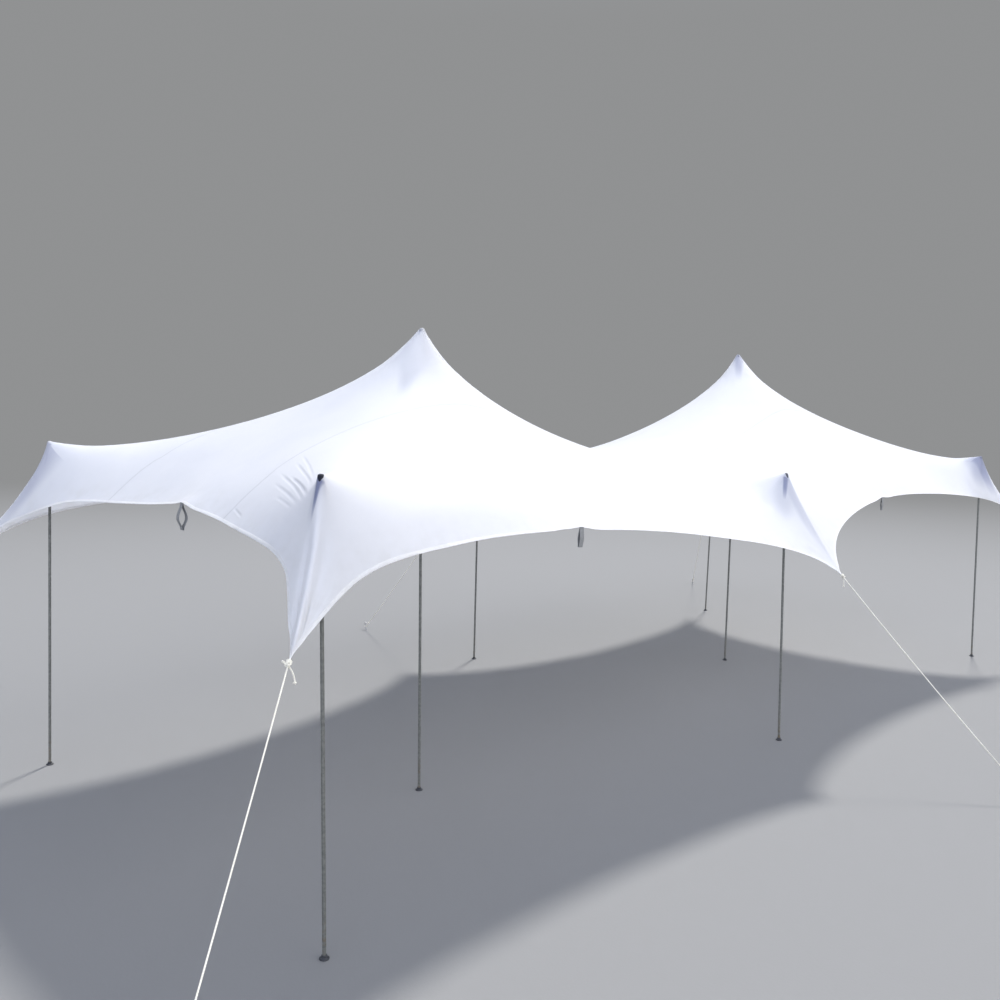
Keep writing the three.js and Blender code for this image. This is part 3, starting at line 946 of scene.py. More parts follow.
@dataclass(frozen=True)
class TubeFinish:
    """Grey galvanised tube, dull and scuffed."""

    light: Point = (0.185, 0.19, 0.175)
    dark: Point = (0.125, 0.13, 0.12)
    scuff: Point = (0.27, 0.27, 0.25)
    soil: Point = (0.16, 0.13, 0.09)
    soil_height: float = 0.35

    def build(self) -> Material:
        """Make the material."""
        bench = Surface("galvanised_tube")
        place = bench.objects()
        streaks = bench.noise(bench.stretched(place, (1.0, 1.0, 0.03)), 220.0, 4.0)
        bloom = bench.noise(place, 55.0, 4.0)
        colour = bench.blend(bench.ramp(bloom, 0.3, 0.7), self.light, self.dark)
        scuffs = bench.ramp(streaks, 0.66, 0.8)
        colour = bench.blend(bench.times(scuffs, 0.5), colour, self.scuff)
        low = bench.ramp(bench.height(), 0.02, self.soil_height, 1.0, 0.0)
        soil = bench.times(low, bench.ramp(bench.noise(place, 30.0, 5.0), 0.4, 0.7))
        colour = bench.blend(soil, colour, self.soil)
        rough = bench.sum("ADD", bench.ramp(bloom, 0.3, 0.7, 0.36, 0.52), bench.times(soil, 0.3))
        bench.finish(colour, rough, bench.relief(streaks, 0.0002), Metallic=0.4)
        return bench.material


@dataclass(frozen=True)
class RubberFinish:
    """Black moulded rubber with a dusty bloom."""

    black: Point = (0.022, 0.024, 0.030)
    bloom: Point = (0.075, 0.077, 0.08)

    def build(self) -> Material:
        """Make the material."""
        bench = Surface("moulded_rubber")
        place = bench.objects()
        cloud = bench.noise(place, 70.0, 4.0)
        grain = bench.noise(place, 900.0, 2.0)
        colour = bench.blend(bench.ramp(cloud, 0.45, 0.8), self.black, self.bloom)
        bench.finish(colour, bench.ramp(cloud, 0.3, 0.8, 0.55, 0.8), bench.relief(grain, 0.0002))
        return bench.material


@dataclass(frozen=True)
class RopeFinish:
    """Cream laid rope of fine fibres, soiled towards the ground."""

    cream: Point = (0.78, 0.75, 0.64)
    pale: Point = (0.87, 0.85, 0.77)
    groove_shade: Point = (0.42, 0.39, 0.30)
    soil: Point = (0.30, 0.25, 0.17)
    fibre: float = 0.0009

    def build(self) -> Material:
        """Make the material."""
        bench = Surface("laid_rope")
        place = bench.objects()
        along, around = bench.metres()
        strand = bench.sum("ADD", bench.times(around, 5.0), along)
        fibres = bench.sum("SINE", bench.times(strand, math.pi / self.fibre))
        fuzz = bench.noise(place, 700.0)
        colour = bench.blend(bench.ramp(fuzz, 0.3, 0.7), self.cream, self.pale)
        # Painted shade in the grooves between the fibres.
        colour = bench.blend(bench.ramp(fibres, -1.0, -0.6, 0.35, 0.0), colour, self.groove_shade)
        low = bench.ramp(bench.height(), 0.05, 0.5, 0.7, 0.0)
        soil = bench.times(low, bench.ramp(bench.noise(place, 40.0, 4.0), 0.35, 0.7))
        colour = bench.blend(soil, colour, self.soil)
        twist = bench.relief(bench.ramp(fibres, -1.0, 1.0), 0.0002, bench.relief(fuzz, 0.0004))
        bench.finish(colour, 0.85, twist, Sheen_Weight=0.2)
        return bench.material


@dataclass(frozen=True)
class PegFinish:
    """Zinc-plated steel, dented all over and rusting in spots."""

    zinc: Point = (0.42, 0.43, 0.43)
    dull: Point = (0.24, 0.245, 0.25)
    rust: Point = (0.20, 0.085, 0.035)

    def build(self) -> Material:
        """Make the material."""
        bench = Surface("plated_peg")
        place = bench.objects()
        cloud = bench.noise(place, 80.0, 4.0)
        spots = bench.ramp(bench.noise(place, 120.0, 5.0, 0.65), 0.58, 0.68)
        colour = bench.blend(bench.ramp(cloud, 0.3, 0.7), self.zinc, self.dull)
        colour = bench.blend(spots, colour, self.rust)
        rough = bench.ramp(spots, 0.0, 1.0, 0.42, 0.85)
        dents = bench.relief(bench.noise(place, 260.0), 0.0006)
        bench.finish(colour, rough, dents, Metallic=0.7)
        return bench.material


@dataclass(frozen=True)
class WebbingFinish:
    """Grey woven webbing with ribs across it, pale where it is worn."""

    pale: Point = (0.27, 0.275, 0.27)
    shade: Point = (0.16, 0.165, 0.17)
    worn: Point = (0.36, 0.36, 0.345)
    rib: float = 0.0022

    def build(self) -> Material:
        """Make the material."""
        bench = Surface("woven_webbing")
        place = bench.objects()
        along, across = bench.metres()
        rib = bench.sum("SINE", bench.times(along, 2.0 * math.pi / self.rib))
        warp = bench.sum("SINE", bench.times(across, 2.0 * math.pi / (self.rib * 0.8)))
        weave = bench.sum("MULTIPLY_ADD", bench.times(rib, warp), 0.5, 0.5)
        colour = bench.blend(weave, self.shade, self.pale)
        rubbed = bench.ramp(bench.noise(place, 60.0, 4.0), 0.5, 0.8, 0.0, 0.4)
        colour = bench.blend(rubbed, colour, self.worn)
        bench.finish(colour, 0.82, bench.relief(weave, 0.0005), Sheen_Weight=0.1)
        return bench.material


@dataclass(frozen=True)
class FloorFinish:
    """Plain pale studio floor that melts into the backdrop far out."""

    pale: Point = (0.20, 0.20, 0.197)
    near: float = 7.0
    far: float = 36.0

    def build(self, backdrop: Point, strength: float) -> Material:
        """Make the material, with the backdrop's colour at the horizon and its strength."""
        bench = Surface("studio_floor")
        place = bench.objects()
        bench.finish((*self.pale, 1.0), 0.9, bench.relief(bench.noise(place, 60.0), 0.0005))
        distance = bench.add("VectorMath", {"operation": "LENGTH"}, Vector=place).outputs["Value"]
        glow = bench.add("Emission", Color=(*backdrop, 1.0), Strength=strength)
        bench.mix_in(bench.ramp(distance, self.near, self.far), glow)
        return bench.material


def eased(share: np.ndarray) -> np.ndarray:
    """Smooth step from 0 to 1 of a share that is cut to that range."""
    cut = np.clip(share, 0.0, 1.0)
    return cut * cut * (3.0 - 2.0 * cut)


def marked_lines(marks: list[float], near: float, far: float) -> np.ndarray:
    """Grid lines through all marks, closer together where the marks are.

    Args:
        marks: Places that a line has to meet, sorted.
        near: Widest cell between marks that lie close together.
        far: Widest cell between marks that lie far apart.

    Returns:
        The places of the lines.
    """
    lines = [marks[0]]
    for start, end in pairwise(marks):
        span = end - start
        cell = far if span > WIDE_SPAN * far else near
        cells = max(1, round(span / cell))
        lines.extend(start + span * (n + 1) / cells for n in range(cells))
    return np.array(lines)


def cubic(start: object, leave: object, end: object, arrive: object, t: np.ndarray) -> np.ndarray:
    """Cubic curve between two ends with given slopes.

    Args:
        start: Its first end.
        leave: Its slope there.
        end: Its last end.
        arrive: Its slope there.
        t: Where it is read, from 0 to 1.

    Returns:
        The curve's value at each place.
    """
    return (
        start * (1 + 2 * t) * (1 - t) ** 2
        + leave * t * (1 - t) ** 2
        + end * t * t * (3 - 2 * t)
        + arrive * t * t * (t - 1)
    )


def unit(rows: np.ndarray) -> np.ndarray:
    """The vectors along the last axis, each with length 1."""
    return rows / np.linalg.norm(rows, axis=-1, keepdims=True)


def run_along(points: np.ndarray) -> np.ndarray:
    """Distance of each point of a path from its start, along the path."""
    return np.concatenate([[0.0], np.cumsum(np.linalg.norm(np.diff(points, axis=0), axis=1))])


def even_curve(knots: np.ndarray, values: np.ndarray, at: np.ndarray) -> np.ndarray:
    """Smooth curve through values that never swings past them.

    Args:
        knots: Places of the values, rising.
        values: One row for each knot.
        at: Places to read the curve.

    Returns:
        One row for each place.
    """
    flat = values.reshape(len(knots), -1)
    step = np.diff(knots)[:, None]
    slope = np.diff(flat, axis=0) / step
    weight_left = 2 * step[1:] + step[:-1]
    weight_right = step[1:] + 2 * step[:-1]
    agree = slope[:-1] * slope[1:] > 0
    before = np.where(agree, slope[:-1], 1.0)
    after = np.where(agree, slope[1:], 1.0)
    mean = (weight_left + weight_right) / (weight_left / before + weight_right / after)
    tangent = np.vstack([slope[:1], np.where(agree, mean, 0.0), slope[-1:]])
    cell = np.clip(np.searchsorted(knots, at, side="right") - 1, 0, len(knots) - 2)
    width = step[cell]
    t = (at - knots[cell])[:, None] / width
    result = cubic(flat[cell], tangent[cell] * width, flat[cell + 1], tangent[cell + 1] * width, t)
    return result.reshape((len(at), *values.shape[1:]))


def closed_curve(samples: np.ndarray, angle: np.ndarray, waves: int) -> np.ndarray:
    """Smooth closed curve through samples at even turns, read at any angles.

    Args:
        samples: One row for each turn.
        angle: Where the curve is read, in radians.
        waves: Finest wave that is kept.

    Returns:
        One row for each angle.
    """
    spectrum = np.fft.rfft(samples, axis=0)[: waves + 1] / len(samples)
    spectrum[1:] *= 2.0
    turns = np.exp(1j * angle[:, None] * np.arange(waves + 1))
    return np.real(turns @ spectrum)


@dataclass(frozen=True)
class Stretch:
    """How the knit pulls.

    Attributes:
        tension: Stretch that the cloth keeps at its cut size.
        along: Stiffness along the strips beside the stiffness across them.
        bias: Stiffness on the bias beside the stiffness across.
        hem: Width of cloth that is as stiff as the hem, in metres.
        slack: Least pull of a thread that hangs slack.
    """

    tension: float = 0.196
    along: float = 0.311
    bias: float = 0.63
    hem: float = 0.93
    slack: float = 0.0005


class ThreadNet:
    """Threads along, across and on the bias of the cut cloth, between the lines of a grid."""

    STABLE_MASS = 1.6

    def __init__(self, along: np.ndarray, across: np.ndarray, stretch: Stretch) -> None:
        """Lay the threads on the cut cloth.

        Args:
            along: Grid lines along the length.
            across: Grid lines across the width.
            stretch: How the knit pulls.
        """
        self.along, self.across, self.stretch = along, across, stretch
        cell_u, cell_v = np.diff(along), np.diff(across)
        share_u = np.concatenate([[cell_u[0]], cell_u[1:] + cell_u[:-1], [cell_u[-1]]]) / 2
        share_v = np.concatenate([[cell_v[0]], cell_v[1:] + cell_v[:-1], [cell_v[-1]]]) / 2
        stiff_u = np.repeat(share_v[None, :] * stretch.along, len(cell_u), axis=0)
        stiff_u[:, [0, -1]] += stretch.hem
        stiff_v = np.repeat(share_u[:, None], len(cell_v), axis=1)
        stiff_v[[0, -1]] += stretch.hem
        length_u = np.repeat(cell_u[:, None], len(across), axis=1)
        length_v = np.repeat(cell_v[None, :], len(along), axis=0)
        diagonal = np.hypot(cell_u[:, None], cell_v[None, :])
        stiff_bias = stretch.bias * cell_u[:, None] * cell_v[None, :] / diagonal
        rest, last, every = slice(1, None), slice(None, -1), slice(None)
        self.families = (
            ((last, every), (rest, every), stiff_u, length_u),
            ((every, last), (every, rest), stiff_v, length_v),
            ((last, last), (rest, rest), stiff_bias, diagonal),
            ((rest, last), (last, rest), stiff_bias, diagonal),
        )
        self.mass = np.zeros((len(along), len(across)))
        for first, second, stiffness, length in self.families:
            self.mass[first] += stiffness / length
            self.mass[second] += stiffness / length

    def relax(self, place: np.ndarray, held: np.ndarray, tension: float, steps: int) -> np.ndarray:
        """Let the threads pull until the cloth comes to rest.

        The motion is stopped each time that it peaks, which brings the cloth to rest.

        Args:
            place: Where the grid's points are.
            held: True for the points that don't move.
            tension: Stretch that the threads keep at their cut length.
            steps: Steps of the motion.

        Returns:
            Where the points come to.
        """
        place = place.copy()
        speed = np.zeros_like(place)
        heavy = (self.STABLE_MASS * max(1.0, tension) * self.mass)[..., None]
        energy_before = 0.0
        for _ in range(steps):
            force = np.zeros_like(place)
            for first, second, stiffness, length in self.families:
                pull = place[second] - place[first]
                now = np.sqrt(np.einsum("ijk,ijk->ij", pull, pull))
                taut = stiffness * np.maximum(now / length - 1.0 + tension, self.stretch.slack)
                pull *= (taut / now)[..., None]
                force[first] += pull
                force[second] -= pull
            speed += force / heavy
            speed[held] = 0.0
            energy = float((heavy * speed * speed).sum())
            if energy < energy_before:
                speed[:] = 0.0
                energy_before = 0.0
            else:
                energy_before = energy
            place += speed
        return place


@dataclass
class Cloth:
    """The cut cloth, stretched between the pole heads and the guyed tips.

    Attributes:
        stretch: How the knit pulls.
        start_height: Height of the flat cloth before it is pulled.
        seat_gap: Distance from a pole head to the cloth's top face.
        crown_half: Half the side of the square that the rough grid holds on a head.
        crown_radius: How far from a pole's axis the cloth lies on its head.
        crown_drop: How far the head's rounding has dropped at that radius.
        patch_radius: Radius of the sewn patch over a head, on the cut cloth.
        held_share: Share of the patch that doesn't move on the fine grid.
        ring_samples: Places read round the patch.
        ring_waves: Finest wave kept round the patch.
        ring_step: Distance over which the slope outside the patch is read.
        rough_cells: Cells of the rough grid, near marks and far from them.
        fine_cells: Cells of the fine grid, between its finer zones.
        tip_cell: Cell of the fine grid between a guyed tip and its pole.
        ridge_cell: Cell of the fine grid beside the middle poles and at the right end.
        back_cell: Cell of the fine grid along the back side.
        middle_reach: How far the fine cells reach from the cloth's middle.
        crown_rings: Distances of the fine grid's extra lines from a pole's place.
        edge_bands: Distances of the fine grid's extra lines from the edges.
        rough_tension: Stretch of the threads while the cloth is first pulled up.
        rough_steps: Steps of that first pull.
        even_steps: Steps of the rough grid at the cloth's own tension.
        fine_steps: Steps of the fine grid.
        gather_reach: How far from a tip the rope's turns gather the cloth.
        gather_share: How narrow the cloth is at the tip itself.
        crease_width: Width of a crease beside its distance from the tip.
        crease_least: Least width of a crease.
        crease_start: Distance from the tip at which a crease is full.
        crease_fade: How fast a crease fades towards its end.
        crease_full: Distance from the tip at which a crease has its whole depth.
        ridge_start: Distance from the tip at which a ridge is full.
        ridge_stop: How far short of the pole's place a ridge ends.
        ridge_fade: Length over which a ridge fades before its end.
        valley_at: Distance of the valleys beside a ridge, in its half widths.
        valley_width: Their own half width, in the ridge's.
        valley_share: Their depth beside the ridge's height.
        end_sags: Where the left end hangs slack: middle, half length and depth of each sag.
        end_sag_reach: How far in those sags reach.
        left_slides: How far the hem's elastic draws the left end in: place and distance.
        front_slides: How far it draws the front side in.
        slide_reach: How far in from the hem the cloth slides with it.
        notch_height: How far a spare loop's stitching lifts the hem.
        notch_reach: Half the length of hem that it lifts.
    """

    stretch: Stretch = field(default_factory=Stretch)
    start_height: float = 2.4
    seat_gap: float = 0.0033
    crown_half: float = 0.014
    crown_radius: float = 0.0158
    crown_drop: float = 0.005
    patch_radius: float = 0.30
    held_share: float = 0.75
    ring_samples: int = 72
    ring_waves: int = 10
    ring_step: float = 0.05
    rough_cells: Place = (0.11, 0.17)
    fine_cells: Place = (0.06, 0.066)
    tip_cell: float = 0.0145
    ridge_cell: float = 0.018
    back_cell: float = 0.028
    middle_reach: float = 0.3
    crown_rings: tuple[float, ...] = (0.0, 0.008, 0.0155, 0.024, 0.037, 0.06, 0.10, 0.15)
    edge_bands: tuple[float, ...] = (0.010, 0.024)
    rough_tension: float = 3.0
    rough_steps: int = 300
    even_steps: int = 3200
    fine_steps: int = 200
    gather_reach: float = 0.13
    gather_share: float = 0.42
    crease_width: float = 0.05
    crease_least: float = 0.008
    crease_start: float = 0.08
    crease_fade: float = 1.3
    crease_full: float = 0.35
    ridge_start: float = 0.12
    ridge_stop: float = 0.10
    ridge_fade: float = 0.2
    valley_at: float = 2.6
    valley_width: float = 1.2
    valley_share: float = 0.45
    end_sags: tuple[Point, ...] = ((1.5, 0.75, 0.033), (3.08, 0.95, 0.048))
    end_sag_reach: float = 0.8
    left_slides: tuple[Place, ...] = (
        (0.0, 0.0),
        (0.2, 0.0),
        (0.58, 0.073),
        (1.1, 0.050),
        (1.6, 0.046),
        (2.24, 0.003),
        (2.5, 0.005),
        (3.1, 0.040),
        (3.8, 0.030),
        (4.3, 0.0),
        (5.0, 0.0),
    )
    front_slides: tuple[Place, ...] = (
        (0.0, 0.0),
        (0.2, 0.0),
        (0.8, 0.033),
        (1.5, 0.058),
        (2.3, 0.030),
        (3.0, 0.048),
        (4.0, 0.0),
        (10.0, 0.0),
    )
    slide_reach: float = 0.40
    notch_height: float = 0.018
    notch_reach: float = 0.10

    def __post_init__(self) -> None:
        """Relax the cloth on a rough grid, then on a fine one, and fold it at the tips."""
        rough_u, rough_v = self._grid(self.rough_cells, (self.crown_half,), (), ((), ()))
        net = ThreadNet(rough_u, rough_v, self.stretch)
        place, held = self._hang(rough_u, rough_v)
        place = net.relax(place, held, self.rough_tension, self.rough_steps)
        place = net.relax(place, held, self.stretch.tension, self.even_steps)
        self.along, self.across = self._grid(
            self.fine_cells, self.crown_rings, self.edge_bands, self._fine_zones()
        )
        fine = even_curve(rough_u, place, self.along)
        fine = even_curve(rough_v, fine.transpose(1, 0, 2), self.across).transpose(1, 0, 2)
        _, held = self._hang(self.along, self.across)
        for pole in POLES:
            held |= self._reach(pole)[0] < self.patch_radius * self.held_share
        net = ThreadNet(self.along, self.across, self.stretch)
        fine = net.relax(self._capped(fine), held, self.stretch.tension, self.fine_steps)
        self.place = self._gathered(self._drawn_in(self._capped(fine)))
        self.place[..., 2] += self._notches() - self._sags()
        self.place = self.place + self.normals() * self._folds()[..., None]

    def _fine_zones(self) -> tuple[tuple[Point, ...], tuple[Point, ...]]:
        """Zones of the fine grid with smaller cells: start, end and cell, along and across."""
        middle = CLOTH_LENGTH / 2
        along = (
            (0.0, INSET_LEFT_END, self.tip_cell),
            (middle - self.middle_reach, middle + self.middle_reach, self.ridge_cell),
            (CLOTH_LENGTH - INSET_RIGHT_END, CLOTH_LENGTH, self.ridge_cell),
        )
        across = (
            (0.0, INSET_FRONT_SIDE, self.tip_cell),
            (CLOTH_WIDTH - INSET_BACK_SIDE, CLOTH_WIDTH, self.back_cell),
        )
        return along, across

    def _reach(self, pole: PoleStand) -> tuple[np.ndarray, np.ndarray]:
        """Distance and direction of the grid's points from a pole's place on the cut cloth."""
        x = self.along[:, None] - pole.cloth[0]
        y = self.across[None, :] - pole.cloth[1]
        return np.hypot(x, y), np.arctan2(y, x)

    def _capped(self, place: np.ndarray) -> np.ndarray:
        """Run the cloth up to each pole head as a smooth cusp, which its sewn patch keeps wide.

        Args:
            place: Places of the grid's points.

        Returns:
            The places with a cusp round each head.
        """
        place = place.copy()
        turns = 2.0 * math.pi * np.arange(self.ring_samples) / self.ring_samples
        for pole in POLES:
            reach, direction = self._reach(pole)
            rings = []
            for radius in (self.patch_radius, self.patch_radius + self.ring_step):
                u = pole.cloth[0] + radius * np.cos(turns)
                v = pole.cloth[1] + radius * np.sin(turns)
                rings.append(self._between(place, u, v))
            inside = reach < self.patch_radius
            rim = closed_curve(rings[0], direction[inside], self.ring_waves)
            slope = closed_curve((rings[1] - rings[0]) / self.ring_step, direction[inside], self.ring_waves)
            crown = np.array(pole.crown) + [0.0, 0.0, self.seat_gap]
            aside = rim[:, :2] - crown[:2]
            out = np.concatenate([unit(aside), np.zeros((len(aside), 1))], axis=1)
            edge = crown + out * self.crown_radius - [0.0, 0.0, self.crown_drop]
            run = self.patch_radius - self.crown_radius
            leave = (rim - edge) * [pole.steep, pole.steep, 1.0]
            t = ((reach[inside] - self.crown_radius) / run)[:, None]
            cusp = cubic(edge, leave, rim, slope * run, t)
            share = (reach[inside] / self.crown_radius)[:, None]
            dome = crown + out * share * self.crown_radius - share**2 * [0.0, 0.0, self.crown_drop]
            place[inside] = np.where(t < 0.0, dome, cusp)
        return place

    @staticmethod
    def _grid(
        cells: Place,
        rings: tuple[float, ...],
        bands: tuple[float, ...],
        zones: tuple[tuple[Point, ...], tuple[Point, ...]],
    ) -> tuple[np.ndarray, np.ndarray]:
        """Grid lines that meet the pole heads, seams, hems and tips.

        Args:
            cells: Widest cells near marks and far from them.
            rings: Distances of extra lines from each pole's place, on both sides of it.
            bands: Distances of extra lines from the edges.
            zones: Start, end and cell of zones with smaller cells, along and across.

        Returns:
            Lines along the length and across the width.
        """
        lines = []
        for axis, size, others in (
            (0, CLOTH_LENGTH, (CLOTH_LENGTH / 2,)),
            (1, CLOTH_WIDTH, SEAMS_AT),
        ):
            fixed = {0.0, size, *others}
            marks = fixed | {edge for band in bands for edge in (band, size - band)}
            for pole in POLES:
                marks |= {pole.cloth[axis] + side * ring for ring in rings for side in (-1.0, 1.0)}
            marks = {mark for mark in marks if 0.0 <= mark <= size}
            for start, end, cell in zones[axis]:
                lines_there = round((end - start) / cell)
                even = {start + (end - start) * k / lines_there for k in range(lines_there + 1)}
                least = cell * LEAST_CELL_SHARE
                marks |= {at for at in even if min(abs(at - mark) for mark in marks) > least}
            kept: list[float] = []
            for mark in sorted(marks):
                close = bool(kept) and mark - kept[-1] < LEAST_CELL
                if close and mark in fixed:
                    kept.pop()
                if not close or mark in fixed:
                    kept.append(mark)
            lines.append(marked_lines(kept, *cells))
        return lines[0], lines[1]

    def _hang(self, along: np.ndarray, across: np.ndarray) -> tuple[np.ndarray, np.ndarray]:
        """The flat cloth in the air, with its pole places on the heads and its tips at the guys.

        Args:
            along: Grid lines along the length.
            across: Grid lines across the width.

        Returns:
            Places of the grid's points, and which of them are held.
        """
        u, v = np.meshgrid(along, across, indexing="ij")
        level = np.full_like(u, self.start_height)
        place = np.stack([u - CLOTH_LENGTH / 2, v - CLOTH_WIDTH / 2, level], axis=-1)
        held = np.zeros(u.shape, dtype=bool)
        for pole in POLES:
            x, y = u - pole.cloth[0], v - pole.cloth[1]
            on_head = np.maximum(np.abs(x), np.abs(y)) < self.crown_half + 1e-6
            crown = pole.crown
            flat = np.full_like(u, crown.z + self.seat_gap)
            place[on_head] = np.stack([crown.x + x, crown.y + y, flat], axis=-1)[on_head]
            held |= on_head
        for guy in GUYS:
            i = int(np.argmin(np.abs(along - guy.cloth[0])))
            j = int(np.argmin(np.abs(across - guy.cloth[1])))
            place[i, j] = guy.tip
            held[i, j] = True
        return place, held

    def _between(self, values: np.ndarray, u: np.ndarray, v: np.ndarray) -> np.ndarray:
        """Values of the grid's points, read at any distances along and across the cloth."""
        i = np.clip(np.searchsorted(self.along, u, side="right") - 1, 0, len(self.along) - 2)
        j = np.clip(np.searchsorted(self.across, v, side="right") - 1, 0, len(self.across) - 2)
        s = ((u - self.along[i]) / (self.along[i + 1] - self.along[i]))[..., None]
        t = ((v - self.across[j]) / (self.across[j + 1] - self.across[j]))[..., None]
        low = values[i, j] * (1 - s) + values[i + 1, j] * s
        high = values[i, j + 1] * (1 - s) + values[i + 1, j + 1] * s
        return low * (1 - t) + high * t

    def _gathered(self, place: np.ndarray) -> np.ndarray:
        """Draw the cloth together where the rope is tied round each tip.

        Args:
            place: Places of the grid's points.

        Returns:
            The places with narrower tips.
        """
        place = place.copy()
        for guy in GUYS:
            offset = place - np.array(guy.tip)
            distance = np.linalg.norm(offset, axis=-1)
            near = distance < self.gather_reach
            axis = offset[near].mean(axis=0)
            axis /= np.linalg.norm(axis)
            depth = offset @ axis
            lateral = offset - depth[..., None] * axis
            share = eased(distance / self.gather_reach)
            narrow = self.gather_share + (1.0 - self.gather_share) * share
            moved = np.array(guy.tip) + depth[..., None] * axis + lateral * narrow[..., None]
            place[near] = moved[near]
        return place

    def _drawn_in(self, place: np.ndarray) -> np.ndarray:
        """Slide the left and front hems in along the cloth, where their elastic is tightest."""
        u, v = np.meshgrid(self.along, self.across, indexing="ij")
        left, front = np.array(self.left_slides), np.array(self.front_slides)
        from_left = even_curve(left[:, 0], left[:, 1], self.across)[None, :]
        from_front = even_curve(front[:, 0], front[:, 1], self.along)[:, None]
        new_u = u + from_left * eased(1.0 - u / self.slide_reach)
        new_v = v + from_front * eased(1.0 - v / self.slide_reach)
        return self._between(place, new_u, new_v)

    def normals(self) -> np.ndarray:
        """Upward normals of the cloth at the grid's points."""
        tangent_u = np.gradient(self.place, self.along, axis=0)
        tangent_v = np.gradient(self.place, self.across, axis=1)
        return unit(np.cross(tangent_u, tangent_v))

    def _sags(self) -> np.ndarray:
        """How far the slack left end hangs down at the grid's points."""
        inward = eased(1.0 - self.along / self.end_sag_reach)
        drop = np.zeros_like(self.across)
        for middle, half, depth in self.end_sags:
            aside = np.minimum(1.0, np.abs(self.across - middle) / half)
            drop += depth * np.cos(math.pi * aside / 2) ** 2
        return inward[:, None] * drop[None, :]

    def _notches(self) -> np.ndarray:
        """How far the spare loops lift the hem at the grid's points."""
        u, v = np.meshgrid(self.along, self.across, indexing="ij")
        height = np.zeros_like(u)
        for place, _ in LOOPS.values():
            reach = np.hypot(u - place[0], v - place[1]) / self.notch_reach
            height += self.notch_height * np.exp(-(reach**2))
        return height

    def _folds(self) -> np.ndarray:
        """Heights of the creases and ridges at the tips, along the normals."""
        u, v = np.meshgrid(self.along, self.across, indexing="ij")
        height = np.zeros_like(u)
        for guy in GUYS:
            x = np.abs(u - guy.cloth[0]) if guy.cloth[0] in (0.0, CLOTH_LENGTH) else u - guy.cloth[0]
            y = np.abs(v - guy.cloth[1])
            reach = np.hypot(x, y)
            angle = np.degrees(np.arctan2(y, x))
            for crease in guy.creases:
                aside = reach * np.radians(angle - crease.angle)
                width = self.crease_least + self.crease_width * reach
                fades = np.clip(1.0 - reach / crease.reach, 0.0, 1.0) ** self.crease_fade
                window = eased(reach / self.crease_start) * fades
                scale = np.clip(reach / self.crease_full, 0.25, 1.0)
                height -= crease.depth * scale * window * np.exp(-((aside / width) ** 2))
            pole = next(stand for stand in POLES if stand.name == guy.name)
            height += self._ridge(u, v, guy, pole.cloth)
        return height

    def _ridge(self, u: np.ndarray, v: np.ndarray, guy: Guy, head: Place) -> np.ndarray:
        """Height of the ridge between a tip and its pole, with a shallow valley on both sides.

        Args:
            u: Distance along the cloth at each grid point.
            v: Distance across it at each grid point.
            guy: The guyed tip.
            head: The pole's place on the cut cloth.

        Returns:
            The height at each grid point.
        """
        tip, width = guy.cloth, guy.ridge.width
        run = np.array(head) - np.array(tip)
        length = float(np.linalg.norm(run))
        run /= length
        ahead = (u - tip[0]) * run[0] + (v - tip[1]) * run[1]
        aside = np.abs((u - tip[0]) * run[1] - (v - tip[1]) * run[0])
        fades = eased((length - self.ridge_stop - ahead) / self.ridge_fade)
        window = eased(ahead / self.ridge_start) * fades
        crest = np.exp(-((aside / width) ** 2))
        valley = np.exp(-(((aside - self.valley_at * width) / (self.valley_width * width)) ** 2))
        return guy.ridge.height * window * (crest - self.valley_share * valley)

    def surface(self, u: np.ndarray, v: np.ndarray) -> tuple[np.ndarray, np.ndarray]:
        """Points and upward normals at any distances along and across the cut cloth."""
        return self._between(self.place, u, v), unit(self._between(self.normals(), u, v))


def grid_faces(rows: int, columns: int) -> np.ndarray:
    """Four-sided faces of a grid of points, counter-clockwise seen from its upper side."""
    corner = (np.arange(rows - 1)[:, None] * columns + np.arange(columns - 1)[None, :]).ravel()
    return np.stack([corner, corner + columns, corner + columns + 1, corner + 1], axis=1)


def tube_faces(rings: int, sides: int) -> np.ndarray:
    """Four-sided faces between the rings of an open tube."""
    ring = np.arange(sides)
    after = np.roll(ring, -1)
    start = np.arange(rings - 1)[:, None] * sides
    corners = [start + ring, start + after, start + sides + after, start + sides + ring]
    return np.stack(corners, axis=-1).reshape(-1, 4)


